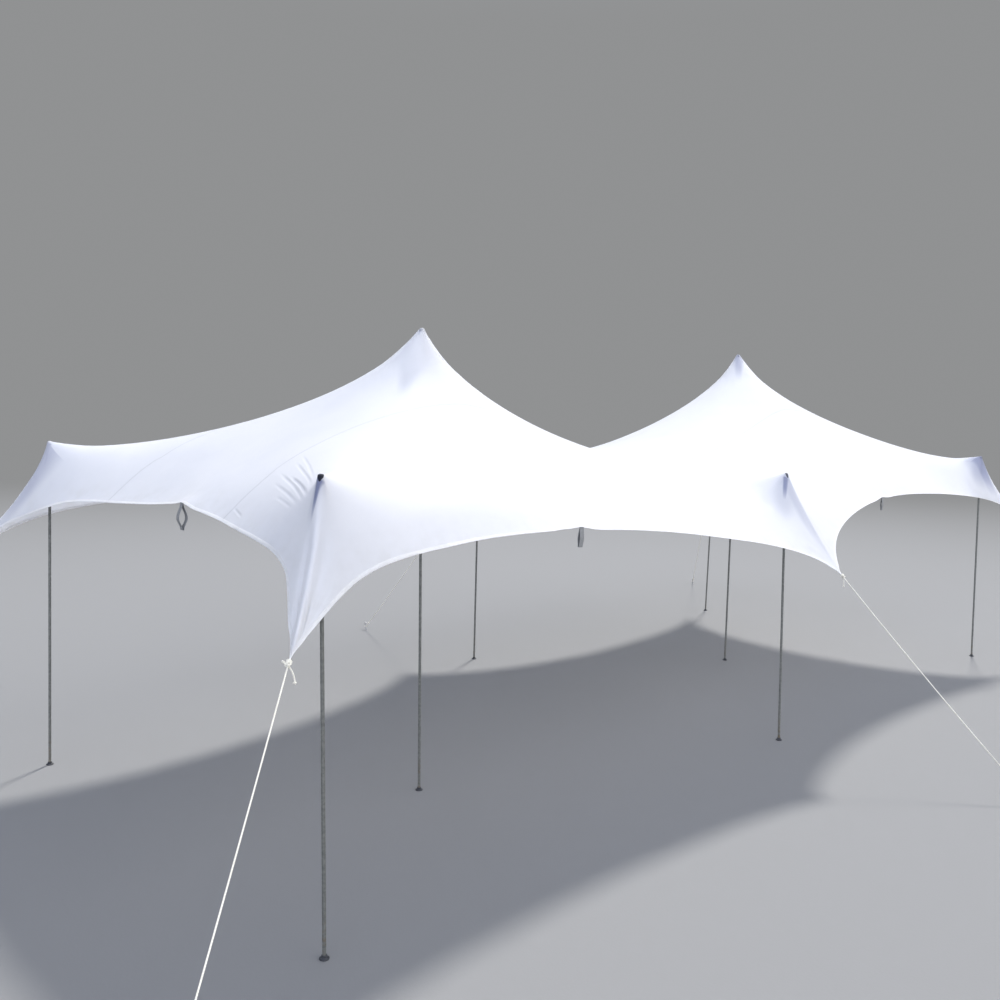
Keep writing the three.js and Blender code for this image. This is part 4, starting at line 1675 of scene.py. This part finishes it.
@dataclass
class Canopy:
    """The canopy: one closed thin sheet of knit.

    Attributes:
        cloth: The stretched cloth.
        thickness: Thickness of the knit.
        dust_reach: How far dust reaches in from the hem.
        under_shift: How far the under face lies beyond the upper one on the UV map.
        name: The piece's name.
    """

    cloth: Cloth
    thickness: float = 0.0016
    dust_reach: float = 0.35
    under_shift: float = CLOTH_WIDTH + 0.5
    name: str = "canopy"

    def build(self) -> Piece:
        """Make the sheet with its two faces and its edge.

        Returns:
            The canopy's mesh object.
        """
        top = self.cloth.place
        under = top - self.cloth.normals() * self.thickness
        rows, columns = top.shape[:2]
        count = rows * columns
        points = np.concatenate([top.reshape(-1, 3), under.reshape(-1, 3)])
        faces = grid_faces(rows, columns)
        ring = np.concatenate(
            [
                np.arange(rows - 1) * columns,
                (rows - 1) * columns + np.arange(columns - 1),
                np.arange(rows - 1, 0, -1) * columns + columns - 1,
                np.arange(columns - 1, 0, -1),
            ]
        )
        after = np.roll(ring, -1)
        rim = np.stack([ring + count, after + count, after, ring], axis=1)
        everything = np.concatenate([faces, faces[:, ::-1] + count, rim])
        u, v = np.meshgrid(self.cloth.along, self.cloth.across, indexing="ij")
        place = np.stack([u.ravel(), v.ravel()], axis=1)
        metres = np.concatenate([place, place + [0.0, self.under_shift]])
        piece = mesh_piece(self.name, points, everything, metres)
        below = np.zeros(len(everything), dtype=np.int32)
        below[len(faces) : 2 * len(faces)] = 1
        piece.data.polygons.foreach_set("material_index", below)
        self._paint(piece, u, v)
        smooth(piece, 60.0)
        return piece

    def _paint(self, piece: Piece, u: np.ndarray, v: np.ndarray) -> None:
        """Store where dust gathers, from each grid point's place on the cut cloth."""
        edge = np.minimum(np.minimum(u, CLOTH_LENGTH - u), np.minimum(v, CLOTH_WIDTH - v))
        dust = eased(1.0 - edge / self.dust_reach).ravel()
        layer = piece.data.attributes.new("dust", "FLOAT", "POINT")
        layer.data.foreach_set("value", np.concatenate([dust, dust]).astype(np.float32))


@dataclass
class Strip:
    """A flat sewn strip that lies along a line of the cut cloth, over both of its faces.

    Attributes:
        cloth: The stretched cloth.
        section: Distance in from the line, and height from the middle of the cloth, of each corner.
        cloth_middle: Depth of the cloth's middle below its top face.
        under_shift: Shift of the under side on the UV map, which keeps the stitching off it.
    """

    cloth: Cloth
    section: list[Place]
    cloth_middle: float = 0.0008
    under_shift: float = 0.1

    def build(self, name: str, u: np.ndarray, v: np.ndarray, inward: Place) -> Piece:
        """Sweep the section along a line of the cloth.

        Args:
            name: The new object's name.
            u: Distances along the cloth of the line's points.
            v: Distances across the cloth of the line's points.
            inward: Direction on the cut cloth from the line to the section's far side.

        Returns:
            The strip's closed mesh object.
        """
        steps, sides = len(u), len(self.section)
        edge, _ = self.cloth.surface(u, v)
        points = np.zeros((steps, sides, 3))
        metres = np.zeros((steps, sides, 2))
        metres[:, :, 0] = run_along(np.stack([u, v], axis=1))[:, None]
        for k, (reach, height) in enumerate(self.section):
            at_u = np.clip(u + inward[0] * reach, 0.0, CLOTH_LENGTH)
            at_v = np.clip(v + inward[1] * reach, 0.0, CLOTH_WIDTH)
            middle, normal = self.cloth.surface(at_u, at_v)
            if reach < 0.0:
                inner, _ = self.cloth.surface(u - inward[0] * reach, v - inward[1] * reach)
                middle = 2.0 * edge - inner
            points[:, k] = middle + normal * (height - self.cloth_middle)
            metres[:, k, 1] = abs(reach) + (self.under_shift if height < 0.0 else 0.0)
        piece = mesh_piece(name, points.reshape(-1, 3), tube_faces(steps, sides), metres.reshape(-1, 2))
        close_ends(piece)
        smooth(piece, 50.0)
        return piece


def close_ends(piece: Piece) -> None:
    """Close a tube's open ends and turn its faces outwards."""
    with editing(piece):
        bpy.ops.mesh.select_all(action="DESELECT")
        bpy.ops.mesh.select_mode(type="EDGE")
        bpy.ops.mesh.select_non_manifold()
        bpy.ops.mesh.edge_face_add()
        bpy.ops.mesh.select_all(action="SELECT")
        bpy.ops.mesh.normals_make_consistent(inside=False)


def hem_section() -> list[Place]:
    """Section of the hem: a doubled band with a rounded roll at the edge."""
    roll = 0.0020
    band = 0.0015
    width = 0.022
    outer = [
        (-0.0015 - roll * math.cos(angle) * 0.9, roll * math.sin(angle))
        for angle in (math.radians(step) for step in range(-60, 61, 30))
    ]
    top = [(0.004, roll), (0.009, band), (width - 0.001, band), (width, band - 0.0007)]
    return [*outer, *top, *[(reach, -height) for reach, height in reversed(top)]]


def seam_section() -> list[Place]:
    """Section of a lapped seam: a low flat band on both faces."""
    half, band = 0.009, 0.0012
    top = [(half, 0.0009), (half - 0.0018, band), (-half + 0.0018, band), (-half, 0.0009)]
    return [*reversed(top), *[(reach, -height) for reach, height in top]]


@dataclass
class Edging:
    """The hems on the four sides and the two seams along the length."""

    cloth: Cloth

    def build(self, hem: Material, seam: Material) -> list[Piece]:
        """Make and dress the hems and seams.

        Args:
            hem: Finish of the hems.
            seam: Finish of the seams.

        Returns:
            The six strips.
        """
        along, across = self.cloth.along, self.cloth.across
        hems = Strip(self.cloth, hem_section())
        sides = {
            Side.FRONT: (along, np.zeros_like(along), (0.0, 1.0)),
            Side.BACK: (along, np.full_like(along, CLOTH_WIDTH), (0.0, -1.0)),
            Side.LEFT: (np.zeros_like(across), across, (1.0, 0.0)),
            Side.RIGHT: (np.full_like(across, CLOTH_LENGTH), across, (-1.0, 0.0)),
        }
        made = []
        for side, (u, v, inward) in sides.items():
            piece = hems.build(f"hem_{side.value}", u, v, inward)
            piece.data.materials.append(hem)
            made.append(piece)
        seams = Strip(self.cloth, seam_section())
        inner = along[1:-1]
        for name, at in zip(("front", "back"), SEAMS_AT):
            piece = seams.build(f"seam_{name}", inner, np.full_like(inner, at), (0.0, 1.0))
            piece.data.materials.append(seam)
            made.append(piece)
        return made


class Thread:
    """A path in space that carries a frame along, for laid strands."""

    def __init__(self, points: np.ndarray) -> None:
        """Carry a frame along the points of a path without twist."""
        self.points = points
        self.tangents = unit(np.gradient(points, axis=0))
        self.run = run_along(points)
        start = np.cross(self.tangents[0], [0.0, 0.0, 1.0])
        if np.linalg.norm(start) < 1e-3:
            start = np.cross(self.tangents[0], [1.0, 0.0, 0.0])
        sides = [unit(start)]
        for tangent in self.tangents[1:]:
            sides.append(unit(sides[-1] - tangent * (sides[-1] @ tangent)))
        self.sides = np.array(sides)
        self.ups = np.cross(self.tangents, self.sides)

    def tube(self, radius: float, sides: int) -> tuple[np.ndarray, np.ndarray, np.ndarray]:
        """An open tube round the path.

        Args:
            radius: The tube's radius.
            sides: Corners round it.

        Returns:
            Points, faces, and the run and turn of each point in metres.
        """
        angles = 2.0 * math.pi * np.arange(sides) / sides
        around = (
            self.sides[:, None] * np.cos(angles)[None, :, None]
            + self.ups[:, None] * np.sin(angles)[None, :, None]
        )
        points = self.points[:, None] + around * radius
        run, turn = np.meshgrid(self.run, angles * radius, indexing="ij")
        metres = np.stack([run.ravel(), turn.ravel()], axis=1)
        return points.reshape(-1, 3), tube_faces(len(self.points), sides), metres

    def strand(self, reach: float, pitch: float, phase: float) -> "Thread":
        """Path of a strand laid round this one at a reach, a pitch and a phase in radians."""
        angle = (2.0 * math.pi * self.run / pitch + phase)[:, None]
        return Thread(self.points + reach * (self.sides * np.cos(angle) + self.ups * np.sin(angle)))


def evenly(points: np.ndarray, step: float) -> np.ndarray:
    """Points along a path at even steps, the path's ends among them."""
    run = run_along(points)
    count = max(3, round(run[-1] / step) + 1)
    at = np.linspace(0.0, run[-1], count)
    return np.stack([np.interp(at, run, points[:, axis]) for axis in range(3)], axis=1)


@dataclass(frozen=True)
class Coil:
    """Turns of rope round the guy's own line.

    Attributes:
        at: Distance of their middle along the line.
        radius: Radius of the turns.
        turns: How many turns.
        length: Length of the coil along the line.
    """

    at: float
    radius: float
    turns: float
    length: float


@dataclass
class GuyRope:
    """A guy rope with its knots, laid of three strands.

    Attributes:
        guy: The guyed tip that it holds.
        radius: The rope's radius.
        lay: Length of one turn of the strands.
        sag: Sag beside the rope's length.
        knot_radius: Radius of the knot at the tip.
        tail_knot: Radius of the path of the knot in the spare end.
        stub_knot: Radius of the path of the knot in the short end.
        whipping: The turns behind the knot at the tip.
        hitch: The turns before the peg.
        seat_gap: Distance between the rope and what it touches.
        hitch_height: Height of the rope's turn round the peg.
        strand_reach: Distance of three touching strands from the rope's middle, in their radii.
        strand_sides: Corners round a strand.
        ring_step: Distance between the rings of a strand.
    """

    guy: Guy
    radius: float = 0.004
    lay: float = 0.032
    sag: float = 0.008
    knot_radius: float = 0.017
    tail_knot: float = 0.0055
    stub_knot: float = 0.005
    whipping: Coil = Coil(-0.016, 0.011, 2.5, 0.016)
    hitch: Coil = Coil(-0.07, 0.0064, 3.0, 0.024)
    seat_gap: float = 0.0003
    hitch_height: float = 0.046
    strand_reach: float = 1.155
    strand_sides: int = 7
    ring_step: float = 0.0036

    def __post_init__(self) -> None:
        """Work out the line from the tip to the peg."""
        tip = np.array(self.guy.tip)
        away = np.array([self.guy.peg[0] - tip[0], self.guy.peg[1] - tip[1], 0.0])
        self.away = unit(away)
        reach = PEG_LEAN * self.hitch_height - PEG_RADIUS - self.seat_gap - self.radius
        self.end = np.array([*self.guy.peg, self.hitch_height]) + self.away * reach
        self.pull = unit(self.end - tip)
        self.start = tip + self.pull * (self.knot_radius + self.seat_gap)
        self.side = unit(np.cross(self.pull, [0.0, 0.0, 1.0]))
        self.up = np.cross(self.side, self.pull)

    def _local(self, points: np.ndarray, origin: np.ndarray) -> np.ndarray:
        """Places of points that are given as distances along the rope, aside and up."""
        return origin + points @ np.stack([self.pull, self.side, self.up])

    def _line(self) -> np.ndarray:
        """The taut line from the knot to the peg, with its slight sag."""
        middle = (self.start + self.end) / 2
        middle = middle - [0.0, 0.0, 2.0 * self.sag * np.linalg.norm(self.end - self.start)]
        t = np.linspace(0.0, 1.0, 60)[:, None]
        return (1 - t) ** 2 * self.start + 2 * t * (1 - t) * middle + t**2 * self.end

    def _knot(self, centre: np.ndarray, size: float) -> np.ndarray:
        """An overhand knot of a size round a centre, as a closed three-lobed path."""
        t = np.linspace(0.0, 2.0 * math.pi, 61)
        lobes = np.stack(
            [
                np.sin(3 * t) * 0.42,
                (np.sin(t) + 2 * np.sin(2 * t)) / 3,
                (np.cos(t) - 2 * np.cos(2 * t)) / 3,
            ],
            axis=1,
        )
        return self._local(lobes * size, centre)

    def _coil(self, origin: np.ndarray, coil: Coil) -> np.ndarray:
        """Turns of rope round the line's own direction, counted from a point on it."""
        t = np.linspace(0.0, 1.0, round(coil.turns * 16) + 1)
        angle = 2.0 * math.pi * coil.turns * t
        rows = [(t - 0.5) * coil.length, coil.radius * np.cos(angle), coil.radius * np.sin(angle)]
        return self._local(np.stack(rows, axis=1), origin + self.pull * coil.at)

    def _tail(self) -> np.ndarray:
        """The spare end that hangs from the knot."""
        drop = np.array(self.guy.tail)
        t = np.linspace(0.0, 1.0, 12)[:, None]
        bow = np.array([0.25 * drop[0], 0.25 * drop[1], 0.0])
        return self.start + drop * t + bow * np.sin(math.pi * t)

    def _stub(self) -> np.ndarray:
        """The short end that sticks out beside the knot."""
        route = [(0.0, 0.006, 0.004), (-0.004, 0.014, 0.009), (-0.008, 0.022, 0.013)]
        return self._local(np.array(route), self.start)

    def _ring(self) -> np.ndarray:
        """Two turns of rope round the leaning peg."""
        radius = PEG_RADIUS + self.seat_gap + self.radius
        t = np.linspace(0.0, 1.0, 41)
        angle = 4.0 * math.pi * t
        height = self.hitch_height + (t - 0.5) * 2.0 * self.radius
        centre = np.array([*self.guy.peg, 0.0]) + self.away * PEG_LEAN * height[:, None]
        across = np.array([-self.away[1], self.away[0], 0.0])
        ring = centre + radius * (np.cos(angle)[:, None] * -self.away + np.sin(angle)[:, None] * across)
        ring[:, 2] = height
        return ring

    def build(self) -> Piece:
        """Make the rope with its knots and ends."""
        tail, stub = self._tail(), self._stub()
        paths = [
            self._line(),
            self._knot(self.start, self.knot_radius - self.radius),
            self._coil(self.start, self.whipping),
            tail,
            self._knot(tail[-1], self.tail_knot),
            stub,
            self._knot(stub[-1], self.stub_knot),
            self._ring(),
            self._coil(self.end, self.hitch),
        ]
        points, faces, metres = [], [], []
        offset = 0
        strand_radius = self.radius / (1.0 + self.strand_reach)
        for path in paths:
            thread = Thread(evenly(path, self.ring_step))
            for phase in (0.0, 2.0 * math.pi / 3, 4.0 * math.pi / 3):
                strand = thread.strand(strand_radius * self.strand_reach, self.lay, phase)
                tube_points, walls, tube_metres = strand.tube(strand_radius, self.strand_sides)
                points.append(tube_points)
                faces.append(walls + offset)
                metres.append(tube_metres)
                offset += len(tube_points)
        parts = [np.concatenate(rows) for rows in (points, faces, metres)]
        piece = mesh_piece(f"guy_{self.guy.name}", *parts)
        close_ends(piece)
        smooth(piece, 60.0)
        return piece


@dataclass
class PoleSet:
    """Poles with their heads and feet.

    Attributes:
        radius: Radius of the tubes.
        head_radius: Radius of the heads.
        head_height: Height of the heads.
        foot_radius: Radius of the feet at the ground.
        foot_height: Height of the feet.
        foot_neck: Radius of the feet's necks.
        grip: How far a tube reaches into its head and its foot.
        sides: Corners round a turned piece.
    """

    radius: float = 0.010
    head_radius: float = 0.013
    head_height: float = 0.030
    foot_radius: float = 0.026
    foot_height: float = 0.022
    foot_neck: float = 0.015
    grip: float = 0.004
    sides: int = 40

    def head(self) -> Piece:
        """The head: a socket with a domed crown."""
        profile = [
            (self.radius + 0.0006, 0.0),
            (self.radius + 0.0014, 0.0005),
            (self.head_radius - 0.0004, 0.0035),
            (self.head_radius, 0.0045),
            (self.head_radius, 0.0120),
            (self.head_radius - 0.0008, 0.0127),
            (self.head_radius - 0.0008, 0.0147),
            (self.head_radius, 0.0154),
        ]
        dome_base = self.head_height - 0.008
        for step in range(7):
            angle = math.radians(15.0 * step)
            radius = 0.004 + (self.head_radius - 0.004) * math.cos(angle)
            profile.append((radius, dome_base + 0.008 * math.sin(angle)))
        return turned("head_pattern", profile, self.sides)

    def foot(self) -> Piece:
        """The foot: a flared rubber shoe with a ribbed neck."""
        profile = [
            (self.foot_radius - 0.0015, 0.0),
            (self.foot_radius, 0.0012),
            (self.foot_radius, 0.0058),
            (self.foot_radius - 0.0014, 0.0070),
            (self.foot_neck + 0.0030, 0.0085),
            (self.foot_neck + 0.0004, 0.0110),
        ]
        for rib in range(3):
            base = 0.0118 + 0.0032 * rib
            profile += [
                (self.foot_neck - 0.0008, base),
                (self.foot_neck - 0.0008, base + 0.0008),
                (self.foot_neck, base + 0.0014),
                (self.foot_neck, base + 0.0026),
            ]
        profile += [(self.foot_neck - 0.0012, self.foot_height), (self.radius + 0.0004, self.foot_height)]
        return turned("foot_pattern", profile, self.sides)

    def build(self, tube: Material, rubber: Material) -> None:
        """Make, dress and report every pole, head and foot.

        Args:
            tube: Finish of the tubes.
            rubber: Finish of the heads and feet.
        """
        head, foot = self.head(), self.foot()
        for pattern in (head, foot):
            pattern.data.materials.append(rubber)
        for pole in POLES:
            base, crown = pole.foot, pole.crown
            socket = crown - Vector((0.0, 0.0, self.head_height))
            low = self.foot_height - self.grip
            length = socket.z + self.grip - low
            profile = [
                (self.radius - 0.0008, 0.0),
                (self.radius, 0.0008),
                (self.radius, length * 0.5),
                (self.radius, length - 0.0008),
                (self.radius - 0.0008, length),
            ]
            shaft = turned(f"tube_{pole.name}", profile, self.sides)
            shaft.data.transform(leaning(base + Vector((0.0, 0.0, low)), Vector((*socket.xy, low + length))))
            shaft.data.materials.append(tube)
            report(shaft, Slot.POLE, f"pole_{pole.name}")
            cap = copied(head, f"cap_{pole.name}", Matrix.Translation(socket))
            report(cap, Slot.RUBBER, f"pole_head_{pole.name}")
            shoe = copied(foot, f"shoe_{pole.name}", Matrix.Translation(base))
            report(shoe, Slot.RUBBER, f"pole_foot_{pole.name}")
        for pattern in (head, foot):
            bpy.data.objects.remove(pattern)


@dataclass
class PegSet:
    """Steel pegs, each leaning away from its tip.

    Attributes:
        height: Height above the ground.
        head_radius: Radius of the head.
        head_thickness: Height of the head.
        sides: Corners round a peg.
    """

    height: float = 0.095
    head_radius: float = 0.018
    head_thickness: float = 0.006
    sides: int = 32

    def pattern(self) -> Piece:
        """One upright peg."""
        neck = self.height - self.head_thickness
        profile = [
            (PEG_RADIUS, 0.0),
            (PEG_RADIUS, neck * 0.5),
            (PEG_RADIUS, neck - 0.002),
            (PEG_RADIUS + 0.0015, neck - 0.0004),
            (PEG_RADIUS + 0.004, neck),
            (self.head_radius - 0.001, neck),
            (self.head_radius, neck + 0.001),
            (self.head_radius, neck + 0.0042),
            (self.head_radius - 0.0018, neck + 0.0056),
            (self.head_radius - 0.007, self.height),
            (0.003, self.height - 0.0006),
        ]
        return turned("peg_pattern", profile, self.sides)

    def build(self, steel: Material) -> None:
        """Make, dress in steel and report the pegs."""
        pattern = self.pattern()
        pattern.data.materials.append(steel)
        for guy in GUYS:
            base = Vector((*guy.peg, 0.0))
            away = (base - Vector((guy.tip[0], guy.tip[1], 0.0))).normalized()
            place = leaning(base, base + away * PEG_LEAN + Vector((0.0, 0.0, 1.0)))
            stake = copied(pattern, f"stake_{guy.name}", place)
            report(stake, Slot.PEG, f"peg_{guy.name}")
        bpy.data.objects.remove(pattern)


@dataclass
class SpareLoop:
    """A doubled webbing strap that hangs from the hem.

    Attributes:
        cloth: The stretched cloth.
        name: The loop's name in the frame.
        place: Its place on the cut cloth.
        size: Its length, and how far it stands open.
        width: Width of the strap.
        top: Distance between the strap's outer faces at the hem.
        fold: Outer radius of the fold at the bottom.
        belly_at: Share of the length at which the loop is widest.
        strap: Thickness of the strap.
        seat_gap: Distance between the loop and the hem.
        steps: Rings down one side.
    """

    cloth: Cloth
    name: str
    place: Place
    size: LoopSize
    width: float = 0.038
    top: float = 0.005
    fold: float = 0.005
    belly_at: float = 0.58
    strap: float = 0.0018
    seat_gap: float = 0.0003
    steps: int = 30

    def build(self) -> Piece:
        """Make the loop at its place on the hem."""
        path = self._route()
        count = len(path)
        tangents = unit(np.gradient(path, axis=0))
        normals = np.stack([tangents[:, 1], -tangents[:, 0]], axis=1)
        run = run_along(path)
        across = np.linspace(-0.5, 0.5, 5) * self.width
        rows, metres = [], []
        for shift in (0.5, -0.5):
            for w in across:
                edge = 1.0 - 0.25 * (2.0 * w / self.width) ** 8
                line = path + normals * shift * self.strap * edge
                rows.append(np.column_stack([line, np.full(count, w)]))
                metres.append(np.column_stack([run, np.full(count, w + self.width + shift * 0.2)]))
        hem, basis = self._stand()
        origin = hem + basis[0] * (self.seat_gap + self.top / 2)
        points = origin + np.concatenate(rows) @ basis
        sheet = grid_faces(len(across), count)
        layer = len(across) * count
        faces = [sheet, sheet[:, ::-1] + layer]
        for edge, order in ((0, 1), (len(across) - 1, -1)):
            start = edge * count + np.arange(count - 1)
            wall = np.stack([start, start + 1, start + 1 + layer, start + layer], axis=1)
            faces.append(wall[:, ::order])
        piece = mesh_piece(f"loop_{self.name}", points, np.concatenate(faces), np.concatenate(metres))
        close_ends(piece)
        smooth(piece, 40.0)
        return piece

    def _stand(self) -> tuple[np.ndarray, np.ndarray]:
        """Where the loop hangs from the hem, and its outward, upward and sideways directions.

        Returns:
            The place, and one row for each direction.
        """
        on_side = self.place[1] in (0.0, CLOTH_WIDTH)
        step = np.array([0.01, 0.0]) if on_side else np.array([0.0, 0.01])
        ends = np.stack([np.array(self.place) - step, np.array(self.place) + step])
        points, _ = self.cloth.surface(ends[:, 0], ends[:, 1])
        hem = Vector((points[0] + points[1]) / 2)
        tangent = Vector(points[1] - points[0]).normalized()
        level = Vector((tangent.x, tangent.y, 0.0)).normalized()
        outward = Vector((level.y, -level.x, 0.0))
        if outward.dot(Vector((hem.x, hem.y, 0.0))) < 0:
            outward.negate()
        up = tangent.cross(outward).normalized()
        if up.z < 0:
            up.negate()
        return np.array(hem), np.array([outward, up, outward.cross(up)])

    def _route(self) -> np.ndarray:
        """The strap's middle line, seen from its edge: down one side and up the other."""
        depth = self.size.length - self.fold
        radius = self.fold - self.strap / 2
        down = []
        for k in range(self.steps):
            share = k / self.steps
            upper = share < self.belly_at
            towards = share / self.belly_at if upper else (1.0 - share) / (1.0 - self.belly_at)
            swell = (1.0 - math.cos(math.pi * towards)) / 2
            end = self.top / 2 - self.strap / 2 if upper else radius
            half = end + (self.size.belly / 2 - self.strap / 2 - end) * swell
            down.append((half, -depth * share))
        around = []
        for k in range(13):
            angle = -math.pi * k / 12
            around.append((radius * math.cos(angle), -depth + radius * math.sin(angle)))
        up = [(-x, y) for x, y in reversed(down)]
        return np.array([*down, *around, *up])


@dataclass(frozen=True)
class Lamp:
    """Light from far away.

    Attributes:
        azimuth: Where it stands, in degrees from +X towards +Y.
        height: How high it stands, in degrees.
        strength: Its strength.
        angle: How wide it is, in degrees.
        colour: Its colour.
    """

    azimuth: float
    height: float
    strength: float
    angle: float
    colour: Point


@dataclass
class Studio:
    """Plain floor, soft light and the camera at the photograph's angle.

    Attributes:
        eye: The camera's place.
        yaw: Turn from +Y towards +X, in radians.
        pitch: Tilt above the horizon, in radians.
        roll: Turn about the line of sight, in radians.
        focal: Focal length beside the picture's width.
        axis_height: Pixel row of the line of sight.
        sensor: Width of the camera's sensor, in millimetres.
        key: The light from behind.
        fill: The low light from the right.
        front: The low light from the camera's side.
        sky: Colour of the sky overhead.
        horizon: Its colour at the horizon.
        sky_band: Heights on the sky between which one turns into the other.
        sky_strength: Its strength.
        floor_size: Side of the floor.
        floor_drop: How far the floor lies below the feet.
    """

    eye: Point = (-7.2646, -5.6307, 2.7058)
    yaw: float = 0.8036
    pitch: float = -0.1271
    roll: float = 0.0171
    focal: float = 0.9444
    axis_height: float = 541.0
    sensor: float = 36.0
    key: Lamp = Lamp(23.0, 56.0, 4.0, 7.0, (1.0, 0.98, 0.95))
    fill: Lamp = Lamp(295.0, 18.0, 2.0, 70.0, (1.0, 0.98, 0.98))
    front: Lamp = Lamp(216.0, 9.0, 2.8, 70.0, (0.76, 0.82, 1.0))
    sky: Point = (0.90, 1.00, 1.25)
    horizon: Point = (0.335, 0.34, 0.345)
    sky_band: Place = (0.36, 0.75)
    sky_strength: float = 0.84
    floor_size: float = 200.0
    floor_drop: float = 0.0005

    def build(self) -> None:
        """Make the floor, the lights and the camera."""
        self._floor()
        self._lights()
        self._camera()

    def _floor(self) -> None:
        """A wide pale floor just under the feet."""
        clear_selection()
        bpy.ops.mesh.primitive_grid_add(
            x_subdivisions=8, y_subdivisions=8, size=self.floor_size, location=(0.0, 0.0, -self.floor_drop)
        )
        floor = bpy.context.active_object
        floor.name = "studio_floor"
        settle(floor)
        floor.data.materials.append(FloorFinish().build(self.horizon, self.sky_strength))

    def _lights(self) -> None:
        """A soft key from behind on the right, two low fills from the front, and a cool sky."""
        for name, lamp in (("key", self.key), ("fill", self.fill), ("front", self.front)):
            self._lamp(name, lamp)
        world = bpy.data.worlds.new("studio")
        world.use_nodes = True
        bench = Bench(world.node_tree)
        direction = bench.add("TexCoord").outputs["Generated"]
        height = bench.add("SeparateXYZ", Vector=direction).outputs[2]
        colour = bench.blend(bench.ramp(height, *self.sky_band), self.horizon, self.sky)
        bench.feed_all(world.node_tree.nodes["Background"], {"Color": colour, "Strength": self.sky_strength})
        bpy.context.scene.world = world
        bpy.context.scene.view_settings.view_transform = "Standard"

    @staticmethod
    def _lamp(name: str, lamp: Lamp) -> None:
        """Hang one lamp under a name."""
        light = bpy.data.lights.new(name, "SUN")
        light.energy = lamp.strength
        light.angle = math.radians(lamp.angle)
        light.color = lamp.colour
        holder = linked(name, light)
        turn, rise = math.radians(lamp.azimuth), math.radians(lamp.height)
        level = Vector((math.cos(turn), math.sin(turn), 0.0))
        towards = level * math.cos(rise) + Vector((0.0, 0.0, math.sin(rise)))
        holder.rotation_euler = towards.to_track_quat("Z", "Y").to_euler()
        holder.location = towards * LAMP_DISTANCE

    def _camera(self) -> None:
        """The camera, turned from its angles."""
        forward = Vector(
            (
                math.sin(self.yaw) * math.cos(self.pitch),
                math.cos(self.yaw) * math.cos(self.pitch),
                math.sin(self.pitch),
            )
        )
        level = Vector((math.cos(self.yaw), -math.sin(self.yaw), 0.0))
        above = level.cross(forward)
        right = math.cos(self.roll) * level + math.sin(self.roll) * above
        up = -math.sin(self.roll) * level + math.cos(self.roll) * above
        lens = bpy.data.cameras.new("camera")
        lens.sensor_width = self.sensor
        lens.lens = self.focal * self.sensor
        lens.shift_y = (self.axis_height - PHOTO_ROWS / 2) / PHOTO_ROWS
        lens.clip_end = VIEW_END
        camera = linked("camera", lens)
        turn = Matrix((right, up, -forward)).transposed().to_4x4()
        camera.matrix_world = Matrix.Translation(self.eye) @ turn
        bpy.context.scene.camera = camera


def main() -> None:
    """Build the studio and the tent, and report every piece."""
    logging.basicConfig(level=logging.INFO, format="%(name)s %(message)s")
    Studio().build()

    cloth = Cloth()
    canopy = Canopy(cloth).build()
    canopy.data.materials.append(KnitFinish().build("stretch_knit_top", 0.48, outer=True))
    canopy.data.materials.append(KnitFinish().build("stretch_knit_under", 0.96, outer=False))
    seam = HemFinish((0.80, 0.805, 0.82), (0.77, 0.775, 0.79), rows=(0.004, 0.008), through=0.5)
    edging = Edging(cloth).build(HemFinish().build("hem_knit"), seam.build("seam_knit"))
    report(canopy, Slot.CLOTH, "canopy_front_strip", "canopy_middle_strip", "canopy_back_strip")
    for piece in edging:
        report(piece, Slot.CLOTH)

    PoleSet().build(TubeFinish().build(), RubberFinish().build())
    PegSet().build(PegFinish().build())

    rope = RopeFinish().build()
    for guy in GUYS:
        piece = GuyRope(guy).build()
        piece.data.materials.append(rope)
        report(piece, Slot.ROPE, f"guy_rope_{guy.name}")

    webbing = WebbingFinish().build()
    for name, (place, size) in LOOPS.items():
        piece = SpareLoop(cloth, name, place, size).build()
        piece.data.materials.append(webbing)
        report(piece, Slot.STRAP, f"spare_loop_{name}")


if __name__ == "__main__":
    main()
